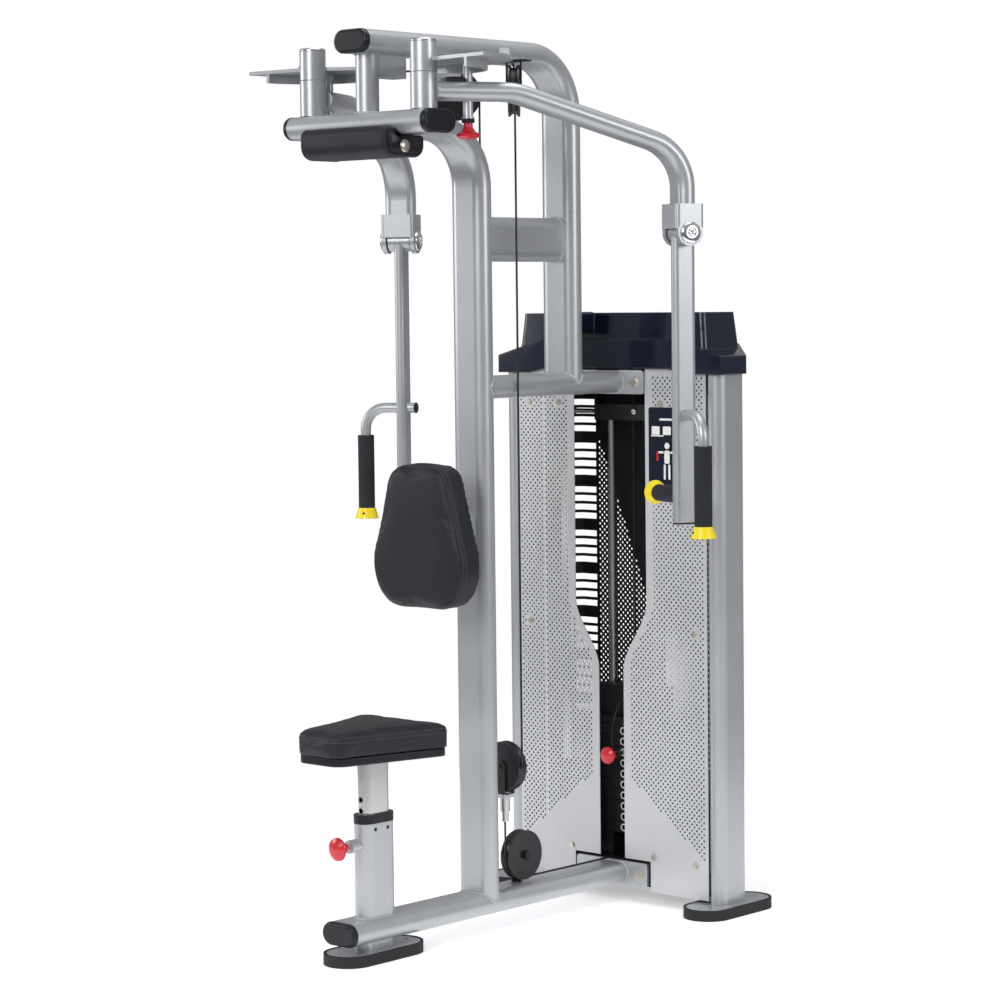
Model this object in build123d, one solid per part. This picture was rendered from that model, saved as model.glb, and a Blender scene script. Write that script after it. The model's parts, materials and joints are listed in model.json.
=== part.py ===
"""Pec deck machine: welded oval-tube frame, two swinging press arms, a weight stack and its cables.

Millimetres, +Z up, +X to the user's left when seated facing out, -Y towards the front of the machine.
The origin is on the floor under the middle of the machine's box.
"""

from build123d import *
import os
from math import acos, atan2, cos, degrees, hypot, pi, radians, sin

# ---------------------------------------------------------------- driving dimensions

BASE_FRONT = -530.0        # y of the base tube's front cap face; depths below are counted from it
OVAL_W = 102.0             # frame tube, flat-oval section, long side
OVAL_T = 51.0              # frame tube, short side
WALL = 3.0                 # frame tube wall
CAP_L = 14.0               # length of a push-on end cap


def at(depth):
    """y of a point that lies `depth` behind the front face of the base tube."""
    return BASE_FRONT + depth


# frame
BASE_Z = 68.1              # centre height of the base tube
UPRIGHT_Y = at(461.0)      # main upright's centre line
BAR_Y = at(130.5)          # crossbar's centre line, and the arms' pivots
BAR_Z = 1840.0
BAR_HALF = 220.0           # crossbar with its caps, half length
TOP_Z = 2020.0             # top tube's centre height
TOP_FRONT = at(76.0)
REAR_Y = at(771.7)         # rear upright's centre line
BRIDGE_Z = 1594.0
LINK_Z = 1256.0
FRONT_BEND = 130.0         # centre line radius of the main upright's bend
REAR_BEND = 135.0
FLANGE_Y = at(932.0)       # front face of the two bolted flanges
FLANGE_T = 8.0
FLANGE_W = 222.0
FLANGE_H = 57.0
FLANGE_BOLT_X = 86.0

# feet
FOOT_Y = at(112.0)
FOOT_STRAIGHT = 75.0       # half of the straight side of a foot
FOOT_R = 58.4
FOOT_H = 25.0
PLATE_R = 52.0
PLATE_T = 6.0
ANCHOR_Y = 104.0           # anchor holes, each side of the foot's middle
ANCHOR_R = 4.5

# seat
SEAT_Y = at(117.0)
SLEEVE_TOP = 305.0
COLLAR_TOP = 325.0
POST_W = 80.0
POST_T = 40.0
POST_BOTTOM = 170.0
BOARD_Z = 452.0            # underside of the seat board
PAD_Z = 469.0
SEAT_TOP = 520.0
SEAT_PIN_Z = 258.0
PIN_TRAVEL = 8.0           # how far each sprung pin has to travel to drop into its hole

# pads
BACK_FRONT = at(265.0)
BACK_T = 62.0
BACK_LOW = 763.0
BACK_HIGH = 1092.0

# arms
PIVOT_X = 170.5
ARM_ANGLE = 64.0           # right arm's direction at rest, from +X towards +Y
SHAFT_R = 15.0
RUN = 0.05                 # radial running clearance of every bearing
HUB_R = 29.0
HUB_LOW = 1866.5
HUB_TOP = 1945.0
CAM_LOW = 1946.0
CAM_BAND_R = 138.0         # stiffening band under the sector
CAM_BAND_T = 8.0
SECTOR_Z = 1968.0
SECTOR_T = 8.0
SECTOR_R = 190.0
SECTOR_FROM = -5.0
SECTOR_TO = 139.0
CAM_HUB_R = 29.0
CAM_TOP = 2010.0
PIN_R = 6.0
PIN_REACH = 101.0          # pull-pin's distance from the pivot
HOLE_STEP = 12.5           # degrees between the range-of-motion holes
ARM_Z = 1905.0
ARM_REACH = 610.0
HINGE_Z = 1600.0
CLEVIS_TOP = 1664.0
CLEVIS_L = 68.0
CLEVIS_W = 84.0
EAR_T = 12.0
BARREL_R = 25.0
BARREL_W = 55.0
LOWER_END = 953.0
HANDLE_Z = 1195.0
HANDLE_OUT = 98.0
HANDLE_TAIL = 30.0         # how far the press bar runs through the arm
BAR_R = 12.5
GRIP_R = 20.0
GRIP_TOP = 1128.0
GRIP_LOW = 950.0
COLLAR_L = 26.0
SIDE_GRIP_Z = 1012.0

# cable and pulleys
CABLE_R = 2.5
CABLE_GAP = 0.3            # between a cable and the floor of a pulley's groove
CAM_CABLE_R = 183.0        # cable's centre line on the cam's rim
CAM_CABLE_Z = 1981.0
PULLEY_R = 58.0
GROOVE_R = 55.0            # cable's centre line in a large pulley
PULLEY_W = 26.0
FLOAT_Y = at(550.0)
FLOAT_Z = 373.0
TOP_PULLEY_Z = CAM_CABLE_Z - GROOVE_R
BASE_PULLEY_Z = 157.0
BASE_PULLEY_Y = FLOAT_Y + GROOVE_R
LOW_CABLE_Z = BASE_PULLEY_Z - GROOVE_R
BRASS_LOW = 243.0          # where the lifting cable enters the adjuster's nut

# tower
TOWER_X = 313.0
TOWER_Y = at(988.0)
TOWER_TOP = 1300.0
SHROUD_Y = at(937.0)
SHROUD_T = 2.0
SHROUD_LOW = 30.0
SHROUD_HIGH = 1300.0
SHROUD_X = 296.0
SLOT_NARROW = 39.0
SLOT_WIDE = 112.0
STACK_Y = at(1030.0)
ROD_X = 70.0
ROD_R = 9.5
STACK_LOW = 154.0
PLATE_PITCH = 26.4
PLATE_H = 25.4
PLATE_X = 140.0            # half width of a weight plate
PLATE_Y = 50.0             # half depth of a weight plate
PLATES = 10
LIFTED = 3
SELECTOR_R = 13.0
REAR_CABLE_Y = at(1092.0)
LOW_PULLEY_R = 22.0
HIGH_PULLEY_Z = 1316.0
REAR_SHROUD_Y = at(1112.0)
REAR_SHROUD_X = 235.0      # where the rear panel turns forward to the uprights
BEAM_TAIL = 230.0          # half width of the beams behind the uprights
ROOF_Z = 1276.0            # top of the beam that carries the upper pulley
COVER_LOW = 1276.0
ARCH_Z = 1288.0            # the visor's front edge rises to this over the flange
COVER_TOP = 1421.0
VISOR_HALF = 348.0
VISOR_CHAMFER = 94.0       # the visor's back corners, at 45 degrees
COVER_DEPTH = 194.0
COVER_WALL = 4.0

# ---------------------------------------------------------------- small helpers


def box(x0, x1, y0, y1, z0, z1):
    """A box between two corners."""
    return Pos((x0 + x1) / 2, (y0 + y1) / 2, (z0 + z1) / 2) * Box(x1 - x0, y1 - y0, z1 - z0)


def rod(start, end, radius):
    """A round bar from one point to another."""
    start, end = Vector(*start), Vector(*end)
    plane = Plane(origin=start, z_dir=end - start)
    return extrude(plane * Circle(radius), amount=(end - start).length)


def straight_tube(start, direction, wide_along, length, width=OVAL_W, thick=OVAL_T, wall=WALL):
    """A flat-oval tube, and the same bar without its bore."""
    plane = Plane(origin=start, x_dir=wide_along, z_dir=direction)
    bar = extrude(plane * SlotOverall(width, thick), amount=length)
    bore = extrude(plane * SlotOverall(width - 2 * wall, thick - 2 * wall), amount=length)
    return bar - bore, bar


def bent_tube(points, radius, wide_along, width=OVAL_W, thick=OVAL_T, wall=WALL):
    """A flat-oval tube along straight runs joined by tangent bends, and the same bar without its bore."""
    path = FilletPolyline(*points, radius=radius)
    first, second = Vector(*points[0]), Vector(*points[1])
    plane = Plane(origin=first, x_dir=wide_along, z_dir=second - first)
    bar = sweep(plane * SlotOverall(width, thick), path=path)
    bore = sweep(plane * SlotOverall(width - 2 * wall, thick - 2 * wall), path=path)
    return bar - bore, bar


def ring(radius, bore, z0, z1, x=0.0, y=0.0):
    """A round tube standing on its end."""
    section = Pos(x, y, z0) * (Circle(radius) - Circle(bore))
    return extrude(section, amount=z1 - z0)


def stadium(x, y, radius, z0, z1):
    """A foot's outline, long along Y, as a slab."""
    section = Pos(x, y, z0) * Rot(0, 0, 90) * SlotCenterToCenter(2 * FOOT_STRAIGHT, radius * 2)
    return extrude(section, amount=z1 - z0)


def pulley(groove_radius, outer_radius, width, bore):
    """A grooved wheel about the Z axis, centred on the origin."""
    floor = groove_radius - CABLE_R - CABLE_GAP
    half = width / 2
    outline = Polyline(
        (bore, -half), (outer_radius, -half), (outer_radius, -half + 4), (floor, -4),
        (floor, 4), (outer_radius, half - 4), (outer_radius, half), (bore, half), close=True,
    )
    return revolve(Plane.XZ * make_face(outline), axis=Axis.Z)


def hexagon(radius, height):
    """A hexagonal nut or bolt head on the XY plane."""
    return extrude(RegularPolygon(radius, 6), amount=height)


def mushroom(radius, neck_radius, neck_length, head_length):
    """A pull knob about Z: the neck starts at the origin and the head is at the far end."""
    outline = Polyline(
        (0, 0), (neck_radius, 0), (neck_radius, neck_length * 0.5), (radius * 0.62, neck_length),
        (radius, neck_length + head_length * 0.3), (radius * 0.96, neck_length + head_length * 0.6),
        (radius * 0.6, neck_length + head_length * 0.92), (0, neck_length + head_length), close=True,
    )
    return revolve(Plane.XZ * make_face(outline), axis=Axis.Z)


def mirrored(shape):
    """The same piece on the other side of the machine."""
    return mirror(shape, about=Plane.YZ)


def save(name, *solids):
    """Write one node."""
    flat = [solid for shape in solids for solid in shape.solids()]
    export_step(flat[0] if len(flat) == 1 else Compound(children=flat), f"parts/{name}.step")


# ---------------------------------------------------------------- welded frame


def frame_bars():
    """Every frame tube as a pair: hollow tube, solid bar."""
    bars = {}
    bars["base"] = straight_tube((0, at(CAP_L), BASE_Z), (0, 1, 0), (1, 0, 0), FLANGE_Y - at(CAP_L))
    bars["cross"] = straight_tube(
        (-BAR_HALF + CAP_L, BAR_Y, BAR_Z), (1, 0, 0), (0, 1, 0), 2 * (BAR_HALF - CAP_L))
    bars["main"] = bent_tube(
        [(0, UPRIGHT_Y, BASE_Z), (0, UPRIGHT_Y, BAR_Z), (0, BAR_Y, BAR_Z)], FRONT_BEND, (1, 0, 0))
    bars["link"] = straight_tube(
        (0, UPRIGHT_Y, LINK_Z), (0, 1, 0), (1, 0, 0), FLANGE_Y - UPRIGHT_Y)
    bars["rear"] = bent_tube(
        [(0, REAR_Y, LINK_Z), (0, REAR_Y, TOP_Z), (0, TOP_FRONT + CAP_L, TOP_Z)], REAR_BEND, (1, 0, 0))
    bars["bridge"] = straight_tube(
        (0, UPRIGHT_Y, BRIDGE_Z), (0, 1, 0), (0, 0, 1), REAR_Y - UPRIGHT_Y)
    return bars


def flange(z, height):
    """The bolted plate on the tower end of a horizontal tube."""
    plate = extrude(
        Plane(origin=(0, FLANGE_Y, z), x_dir=(1, 0, 0), z_dir=(0, 1, 0))
        * RectangleRounded(FLANGE_W, height, 8), amount=FLANGE_T)
    for x in (-FLANGE_BOLT_X, FLANGE_BOLT_X):
        plate -= rod((x, FLANGE_Y - 1, z), (x, FLANGE_Y + FLANGE_T + 1, z), 6.0)
    return plate


def make_frame():
    """The frame's tubes, each cut to the tubes that it is welded to."""
    bars = frame_bars()
    save("base_tube", bars["base"][0] + flange(BASE_Z, FLANGE_H))
    save("main_upright", bars["main"][0] - bars["base"][1] - bars["cross"][1])
    save("crossbar", bars["cross"][0])
    save("link_tube", (bars["link"][0] - bars["main"][1]) + flange(LINK_Z, FLANGE_H))
    save("rear_upright", bars["rear"][0] - bars["link"][1])
    save("bridge_tube", bars["bridge"][0] - bars["main"][1] - bars["rear"][1])
    post = rod((0, BAR_Y, BAR_Z), (0, BAR_Y, TOP_Z), OVAL_T / 2)
    post -= rod((0, BAR_Y, BAR_Z), (0, BAR_Y, TOP_Z), OVAL_T / 2 - WALL)
    gusset = box(-20, 20, BAR_Y, BAR_Y + 102, 1944, TOP_Z) - rod(
        (0, BAR_Y, BAR_Z), (0, BAR_Y, TOP_Z), OVAL_T / 2)
    save("crossbar_post", post - bars["cross"][1] - bars["rear"][1], gusset - bars["rear"][1])


def end_cap(centre, outward, wide_along):
    """A push-on plastic cap, CAP_L deep, with a softened outer edge."""
    plane = Plane(origin=centre, x_dir=wide_along, z_dir=outward)
    cap = extrude(plane * SlotOverall(OVAL_W + 1, OVAL_T + 1), amount=CAP_L)
    face = cap.faces().sort_by(Axis(centre, outward))[-1]
    return fillet(face.edges(), 8)


def make_caps():
    """The four black caps on the open tube ends."""
    base = end_cap((0, at(CAP_L), BASE_Z), (0, -1, 0), (1, 0, 0))
    top = end_cap((0, TOP_FRONT + CAP_L, TOP_Z), (0, -1, 0), (1, 0, 0))
    bar = end_cap((BAR_HALF - CAP_L, BAR_Y, BAR_Z), (1, 0, 0), (0, 1, 0))
    save("end_caps", base, top, bar, mirrored(bar))


def foot(x, y):
    """A floor plate in its rubber shoe."""
    holes = [Pos(x, y + side * ANCHOR_Y, FOOT_H / 2) * Cylinder(ANCHOR_R, FOOT_H * 2) for side in (-1, 1)]
    plate = stadium(x, y, PLATE_R, FOOT_H - PLATE_T - 1, FOOT_H - 1)
    shoe = stadium(x, y, FOOT_R, 0, FOOT_H) - stadium(x, y, PLATE_R, FOOT_H - PLATE_T - 1, FOOT_H + 1)
    for hole in holes:
        plate -= hole
        shoe -= hole
    return plate, shoe


def make_feet():
    """Three feet: one under the base tube, one under each tower upright."""
    places = [(0, FOOT_Y), (TOWER_X, TOWER_Y), (-TOWER_X, TOWER_Y)]
    pairs = [foot(x, y) for x, y in places]
    stub, _ = straight_tube((0, FOOT_Y, FOOT_H - 1), (0, 0, 1), (0, 1, 0), BASE_Z - FOOT_H)
    base = frame_bars()["base"][1]
    save("foot_plates", *[pair[0] for pair in pairs], stub - base)
    save("foot_rubbers", *[pair[1] for pair in pairs])


# ---------------------------------------------------------------- seat


def make_seat():
    """The sleeve on the base tube, the sliding post, the cushion and the pop pin."""
    tube, _ = straight_tube((0, SEAT_Y, BASE_Z), (0, 0, 1), (0, 1, 0), SLEEVE_TOP - BASE_Z)
    front = SEAT_Y - OVAL_W / 2
    boss_bar = rod((0, front + 8, SEAT_PIN_Z), (0, front - 28, SEAT_PIN_Z), 15)
    bore = rod((0, front + 12, SEAT_PIN_Z), (0, front - 29, SEAT_PIN_Z), PIN_R + RUN)
    inner = extrude(
        Plane(origin=(0, SEAT_Y, BASE_Z), x_dir=(0, 1, 0), z_dir=(0, 0, 1))
        * SlotOverall(OVAL_W - 2 * WALL, OVAL_T - 2 * WALL), amount=SLEEVE_TOP - BASE_Z)
    sleeve = tube - frame_bars()["base"][1] + (boss_bar - inner) - bore
    for y in (SEAT_Y - 19, SEAT_Y + 19):
        sleeve -= rod((OVAL_T / 2 - WALL - 1, y, 292), (OVAL_T / 2 + 1, y, 292), 4.5)
    save("seat_sleeve", sleeve)

    top = Plane(origin=(0, SEAT_Y, SLEEVE_TOP), x_dir=(0, 1, 0), z_dir=(0, 0, 1))
    slot = SlotOverall(POST_W + 0.8, POST_T + 0.8)
    collar = extrude(top * (SlotOverall(OVAL_W + 2, OVAL_T + 2) - slot), amount=COLLAR_TOP - SLEEVE_TOP)
    liner = extrude(
        top * (SlotOverall(OVAL_W - 2 * WALL, OVAL_T - 2 * WALL) - slot), amount=-32)
    liner -= rod((0, front - 30, SEAT_PIN_Z), (0, SEAT_Y, SEAT_PIN_Z), PIN_R + 1)
    save("sleeve_collar", collar + liner)

    post, _ = straight_tube(
        (0, SEAT_Y, POST_BOTTOM), (0, 0, 1), (0, 1, 0), BOARD_Z - POST_BOTTOM, POST_W, POST_T, 2.5)
    for step in range(7):
        z = SEAT_PIN_Z - 50 + 25 * step
        post -= rod((0, SEAT_Y - POST_W / 2 - 1, z), (0, SEAT_Y - POST_W / 2 + 5, z), PIN_R + 0.5)
    save("seat_post", post)

    outline = Polyline(
        (-66, at(-61.4)), (66, at(-61.4)), (144, at(235)), (-144, at(235)), close=True)
    plan = fillet(make_face(outline).vertices(), 45)
    board = extrude(Pos(0, 0, BOARD_Z) * offset(plan, -6), amount=PAD_Z - BOARD_Z)
    pad = extrude(Pos(0, 0, PAD_Z) * plan, amount=SEAT_TOP - PAD_Z)
    pad = fillet(pad.faces().sort_by(Axis.Z)[-1].edges(), 12)
    save("seat_cushion", pad, board)

    shaft = rod((0, SEAT_Y - POST_W / 2 - 2, SEAT_PIN_Z), (0, front - 38, SEAT_PIN_Z), PIN_R)
    knob = Pos(0, front - 28 - PIN_TRAVEL - 1, SEAT_PIN_Z) * Rot(90, 0, 0) * mushroom(26, 10, 18, 17)
    save("seat_pin", shaft + knob)


# ---------------------------------------------------------------- pads on the frame


def make_pads():
    """The back pad on its bracket, and the pad wrapped round the crossbar."""
    outline = Polyline(
        (-112, BACK_LOW), (112, BACK_LOW), (152, 855), (84, BACK_HIGH), (-84, BACK_HIGH), (-152, 855),
        close=True)
    face = make_face(outline)
    corners = face.vertices().sort_by(Axis.Y)
    face = fillet(corners[:2], 68)
    face = fillet([v for v in face.vertices() if 840 < v.Y < 870], 120)
    face = fillet(face.vertices().sort_by(Axis.Y)[-2:], 48)
    front = Plane(origin=(0, BACK_FRONT, 0), x_dir=(1, 0, 0), z_dir=(0, -1, 0))
    pad = extrude(front * face, amount=-BACK_T)
    save("back_pad", pad)

    rear = BACK_FRONT + BACK_T
    plate = box(-55, 55, rear, rear + 6, 850, 1000)
    arm = box(-25, 25, rear + 6, UPRIGHT_Y - OVAL_T / 2, 885, 965)
    arm -= box(-22, 22, rear + 6, UPRIGHT_Y, 888, 962)
    save("back_pad_bracket", plate + arm)

    under = BAR_Z - OVAL_T / 2
    lip = BAR_Y - OVAL_W / 2 - 3
    section = Polyline(
        (at(46), 1762), (at(176), 1762), (at(176), under - 1), (lip, under - 1), (lip, 1832),
        (at(46), 1832), close=True)
    side = Plane(origin=(-130, 0, 0), x_dir=(0, 1, 0), z_dir=(1, 0, 0))
    save("head_pad", extrude(side * make_face(section), amount=260))


# ---------------------------------------------------------------- cams, arms and handles (right side)

PIVOT_Y = BAR_Y
ARM_PLANE = Plane(
    origin=(PIVOT_X, PIVOT_Y, 0),
    x_dir=(cos(radians(ARM_ANGLE)), sin(radians(ARM_ANGLE)), 0), z_dir=(0, 0, 1))


def pie(radius, start, end, z0, z1):
    """A sector of a disc about the pivot, from one angle to another."""
    arc = CenterArc((0, 0), radius, start, end - start)
    outline = make_face([Line((0, 0), arc @ 0), arc, Line(arc @ 1, (0, 0))])
    return extrude(Pos(PIVOT_X, PIVOT_Y, z0) * outline, amount=z1 - z0)


def cable_tangent():
    """Angle on the cam where the cable leaves it for its top pulley."""
    dx, dy = GROOVE_R - PIVOT_X, FLOAT_Y - PIVOT_Y
    return atan2(dy, dx) - acos(CAM_CABLE_R / hypot(dx, dy))


def make_cam(save_pair):
    """The sector that the arm's pin locks into, with the rim its cable winds on and the cable's clamp."""
    bore = Pos(PIVOT_X, PIVOT_Y, 1950) * Cylinder(SHAFT_R + RUN, 200)
    band = pie(CAM_BAND_R, SECTOR_FROM, SECTOR_TO, CAM_LOW + 2, SECTOR_Z)
    band -= pie(CAM_BAND_R - CAM_BAND_T, SECTOR_FROM - 1, SECTOR_TO + 1, CAM_LOW + 1, SECTOR_Z)
    plate = pie(SECTOR_R, SECTOR_FROM, SECTOR_TO, SECTOR_Z, SECTOR_Z + SECTOR_T)
    rim_r = CAM_CABLE_R - CABLE_R - 0.4
    rim = pie(rim_r, degrees(cable_tangent()) - 3, SECTOR_TO, SECTOR_Z + SECTOR_T, 1986)
    rim -= pie(rim_r - 10, 0, SECTOR_TO + 20, SECTOR_Z + SECTOR_T - 1, 1987)
    hub = Pos(PIVOT_X, PIVOT_Y, (CAM_LOW + CAM_TOP) / 2) * Cylinder(CAM_HUB_R, CAM_TOP - CAM_LOW)
    cam = band + plate + hub + rim - bore
    for step in range(5):
        angle = radians(ARM_ANGLE - HOLE_STEP * step)
        x, y = PIVOT_X + PIN_REACH * cos(angle), PIVOT_Y + PIN_REACH * sin(angle)
        cam -= Pos(x, y, SECTOR_Z + SECTOR_T / 2) * Cylinder(PIN_R + 0.4, SECTOR_T * 2)
    angle = degrees(cable_tangent()) - 3.5
    clamp = Rot(0, 0, angle) * Pos(176, 0, SECTOR_Z + SECTOR_T + 8) * Box(22, 18, 16)
    save_pair("cam", cam + Pos(PIVOT_X, PIVOT_Y, 0) * clamp)


def make_arm(save_pair):
    """Hub, pin housing, bent oval tube and the clevis at its end."""
    slope_z = 1781.6
    tube, _ = bent_tube(
        [(20, 0, ARM_Z), (205, 0, ARM_Z), (ARM_REACH, 0, slope_z), (ARM_REACH, 0, CLEVIS_TOP)],
        [170, 112], (0, 1, 0), 76, 40, 2.5)
    bore = Pos(0, 0, 1900) * Cylinder(SHAFT_R + RUN, 300)
    hub = Pos(0, 0, (HUB_LOW + HUB_TOP) / 2) * Cylinder(HUB_R, HUB_TOP - HUB_LOW)
    housing = Pos(PIN_REACH, 0, (1850 + 1966) / 2) * Cylinder(11, 1966 - 1850)
    socket = Pos(PIN_REACH, 0, 1844) * Cylinder(13.5, 12)
    pin_bore = Pos(PIN_REACH, 0, 1900) * Cylinder(PIN_R + RUN, 200)
    neck_bore = Pos(PIN_REACH, 0, 1844) * Cylinder(10.5, 13)
    gusset = box(HUB_R - 4, 84, -4, 4, 1924, 1943)
    root_plane = Plane(origin=(20, 0, ARM_Z), x_dir=(0, 1, 0), z_dir=(1, 0, 0))
    root = extrude(root_plane * SlotOverall(76, 40), amount=3)
    block = box(ARM_REACH - CLEVIS_L / 2, ARM_REACH + CLEVIS_L / 2, -CLEVIS_W / 2, CLEVIS_W / 2,
                HINGE_Z + 9, CLEVIS_TOP)
    block = fillet(block.edges().filter_by(Axis.Z), 9)
    ears = []
    for side in (-1, 1):
        y0 = side * (CLEVIS_W / 2 - EAR_T / 2)
        ear = Pos(ARM_REACH, y0, HINGE_Z) * Rot(90, 0, 0) * Cylinder(30, EAR_T)
        ear += box(ARM_REACH - 30, ARM_REACH + 30, y0 - EAR_T / 2, y0 + EAR_T / 2, HINGE_Z, HINGE_Z + 12)
        ears.append(ear)
    gap = Pos(ARM_REACH, 0, HINGE_Z) * Rot(90, 0, 0) * Cylinder(BARREL_R + 2, CLEVIS_W - 2 * EAR_T)
    bolt_hole = Pos(ARM_REACH, 0, HINGE_Z) * Rot(90, 0, 0) * Cylinder(8, CLEVIS_W + 20)
    solid = tube + root - (Pos(0, 0, 1900) * Cylinder(HUB_R - 3, 200)) + hub + gusset + block
    solid += housing + socket
    solid = solid + ears[0] + ears[1] - gap - bore - pin_bore - neck_bore - bolt_hole
    save_pair("arm", ARM_PLANE * solid)


def make_pull_pin(save_pair):
    """The spring pin that locks the arm to its cam, drawn with its tip just under the sector."""
    shaft = Pos(PIN_REACH, 0, (1830 + 1965) / 2) * Cylinder(PIN_R, 1965 - 1830)
    knob = Pos(PIN_REACH, 0, 1838) * Rot(180, 0, 0) * mushroom(26, 10, 19, 18)
    save_pair("pull_pin", ARM_PLANE * (shaft + knob))


def make_lower_arm(save_pair):
    """The hanging arm: hinge barrel, flat-oval tube and the two welded handle bars."""
    barrel = Pos(ARM_REACH, 0, HINGE_Z) * Rot(90, 0, 0) * Cylinder(BARREL_R, BARREL_W)
    tube, _ = straight_tube(
        (ARM_REACH, 0, LOWER_END), (0, 0, 1), (1, 0, 0), HINGE_Z - 8 - LOWER_END, 55, 25, 2.5)
    path = FilletPolyline(
        (ARM_REACH, HANDLE_TAIL, HANDLE_Z), (ARM_REACH, -HANDLE_OUT, HANDLE_Z),
        (ARM_REACH, -HANDLE_OUT, GRIP_LOW - 8), radius=52)
    start = Plane(origin=(ARM_REACH, HANDLE_TAIL, HANDLE_Z), z_dir=(0, -1, 0))
    press_bar = sweep(start * Circle(BAR_R), path=path)
    side_bar = rod((ARM_REACH, -13.5, SIDE_GRIP_Z), (ARM_REACH, 142, SIDE_GRIP_Z), BAR_R)
    bore = Pos(ARM_REACH, 0, HINGE_Z) * Rot(90, 0, 0) * Cylinder(8 + RUN, BARREL_W + 4)
    save_pair("lower_arm", ARM_PLANE * (tube + barrel + press_bar + side_bar - bore))


def make_grips(save_pair):
    """Rubber grips, the plug in the arm's end, and the yellow flared end collars."""
    outer = Pos(ARM_REACH, -HANDLE_OUT, (GRIP_LOW + GRIP_TOP) / 2)
    grip = outer * Cylinder(GRIP_R, GRIP_TOP - GRIP_LOW) - outer * Cylinder(BAR_R, 400)
    side = rod((ARM_REACH, 14, SIDE_GRIP_Z), (ARM_REACH, 136, SIDE_GRIP_Z), 19)
    side -= rod((ARM_REACH, 0, SIDE_GRIP_Z), (ARM_REACH, 160, SIDE_GRIP_Z), BAR_R)
    plug = extrude(
        Plane(origin=(ARM_REACH, 0, LOWER_END), x_dir=(1, 0, 0), z_dir=(0, 0, -1))
        * SlotOverall(55, 25), amount=4)
    save_pair("grips", ARM_PLANE * grip, ARM_PLANE * side, ARM_PLANE * plug)

    flare = Cone(GRIP_R + 1, 29.5, COLLAR_L)
    down = Pos(ARM_REACH, -HANDLE_OUT, GRIP_LOW - COLLAR_L / 2) * Rot(180, 0, 0) * flare
    down -= Pos(ARM_REACH, -HANDLE_OUT, GRIP_LOW) * Cylinder(BAR_R, 60)
    out = Pos(ARM_REACH, 136 + 10, SIDE_GRIP_Z) * Rot(-90, 0, 0) * Cone(20, 27.5, 20)
    out -= rod((ARM_REACH, 100, SIDE_GRIP_Z), (ARM_REACH, 180, SIDE_GRIP_Z), BAR_R)
    save_pair("grip_collars", ARM_PLANE * down, ARM_PLANE * out)


def make_hinge_bolt(save_pair):
    """The bolt through the clevis, with a domed cap on each end."""
    half = CLEVIS_W / 2
    profile = Polyline((0, half), (24, half), (22, half + 5), (14, half + 9), (0, half + 10), close=True)
    dome = revolve(Plane.XZ * make_face(profile), axis=Axis.Z)
    bolt = Cylinder(8, CLEVIS_W) + dome + mirror(dome, about=Plane.XY)
    save_pair("hinge_bolt", ARM_PLANE * (Pos(ARM_REACH, 0, HINGE_Z) * Rot(90, 0, 0) * bolt))


def make_arms():
    """Both arms: the right one, and its mirror image."""
    def save_pair(name, *solids):
        save(f"right_{name}", *solids)
        save(f"left_{name}", *[mirrored(solid) for solid in solids])

    for make in (make_cam, make_arm, make_pull_pin, make_lower_arm, make_grips, make_hinge_bolt):
        make(save_pair)
    shaft = Pos(PIVOT_X, PIVOT_Y, (BAR_Z + 2012) / 2) * Cylinder(SHAFT_R, 2012 - BAR_Z)
    dome = Pos(PIVOT_X, PIVOT_Y, 2010.6 + 3) * Cylinder(CAM_HUB_R, 6)
    dome = fillet(dome.faces().sort_by(Axis.Z)[-1].edges(), 5)
    pin = (shaft + dome) - frame_bars()["cross"][1]
    save("pivot_shafts", pin, mirrored(pin))


# ---------------------------------------------------------------- pulleys


def wheel_at(place, axis, groove=GROOVE_R, outer=PULLEY_R, width=PULLEY_W, bore=6.0 + RUN):
    """A pulley turned so that its axle runs along `axis`."""
    return Plane(origin=place, z_dir=axis) * pulley(groove, outer, width, bore)


def top_pulley_place():
    """Centre and axle direction of the right top pulley."""
    angle = cable_tangent()
    along = (-sin(angle), cos(angle))
    centre = (GROOVE_R - GROOVE_R * along[0], FLOAT_Y - GROOVE_R * along[1], TOP_PULLEY_Z)
    return centre, (along[1], -along[0], 0)


def cheek(centre, axis, z_far, offset, width=30, thick=4):
    """A strap beside a pulley, from its axle to height z_far."""
    low, high = sorted((centre[2], z_far))
    plane = Plane(origin=(centre[0], centre[1], (low + high) / 2), x_dir=(0, 0, 1), z_dir=axis)
    strap = plane * Pos(0, 0, offset) * Box(high - low, width, thick)
    return strap + Plane(origin=centre, z_dir=axis) * Pos(0, 0, offset) * Cylinder(width / 2, thick)


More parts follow.
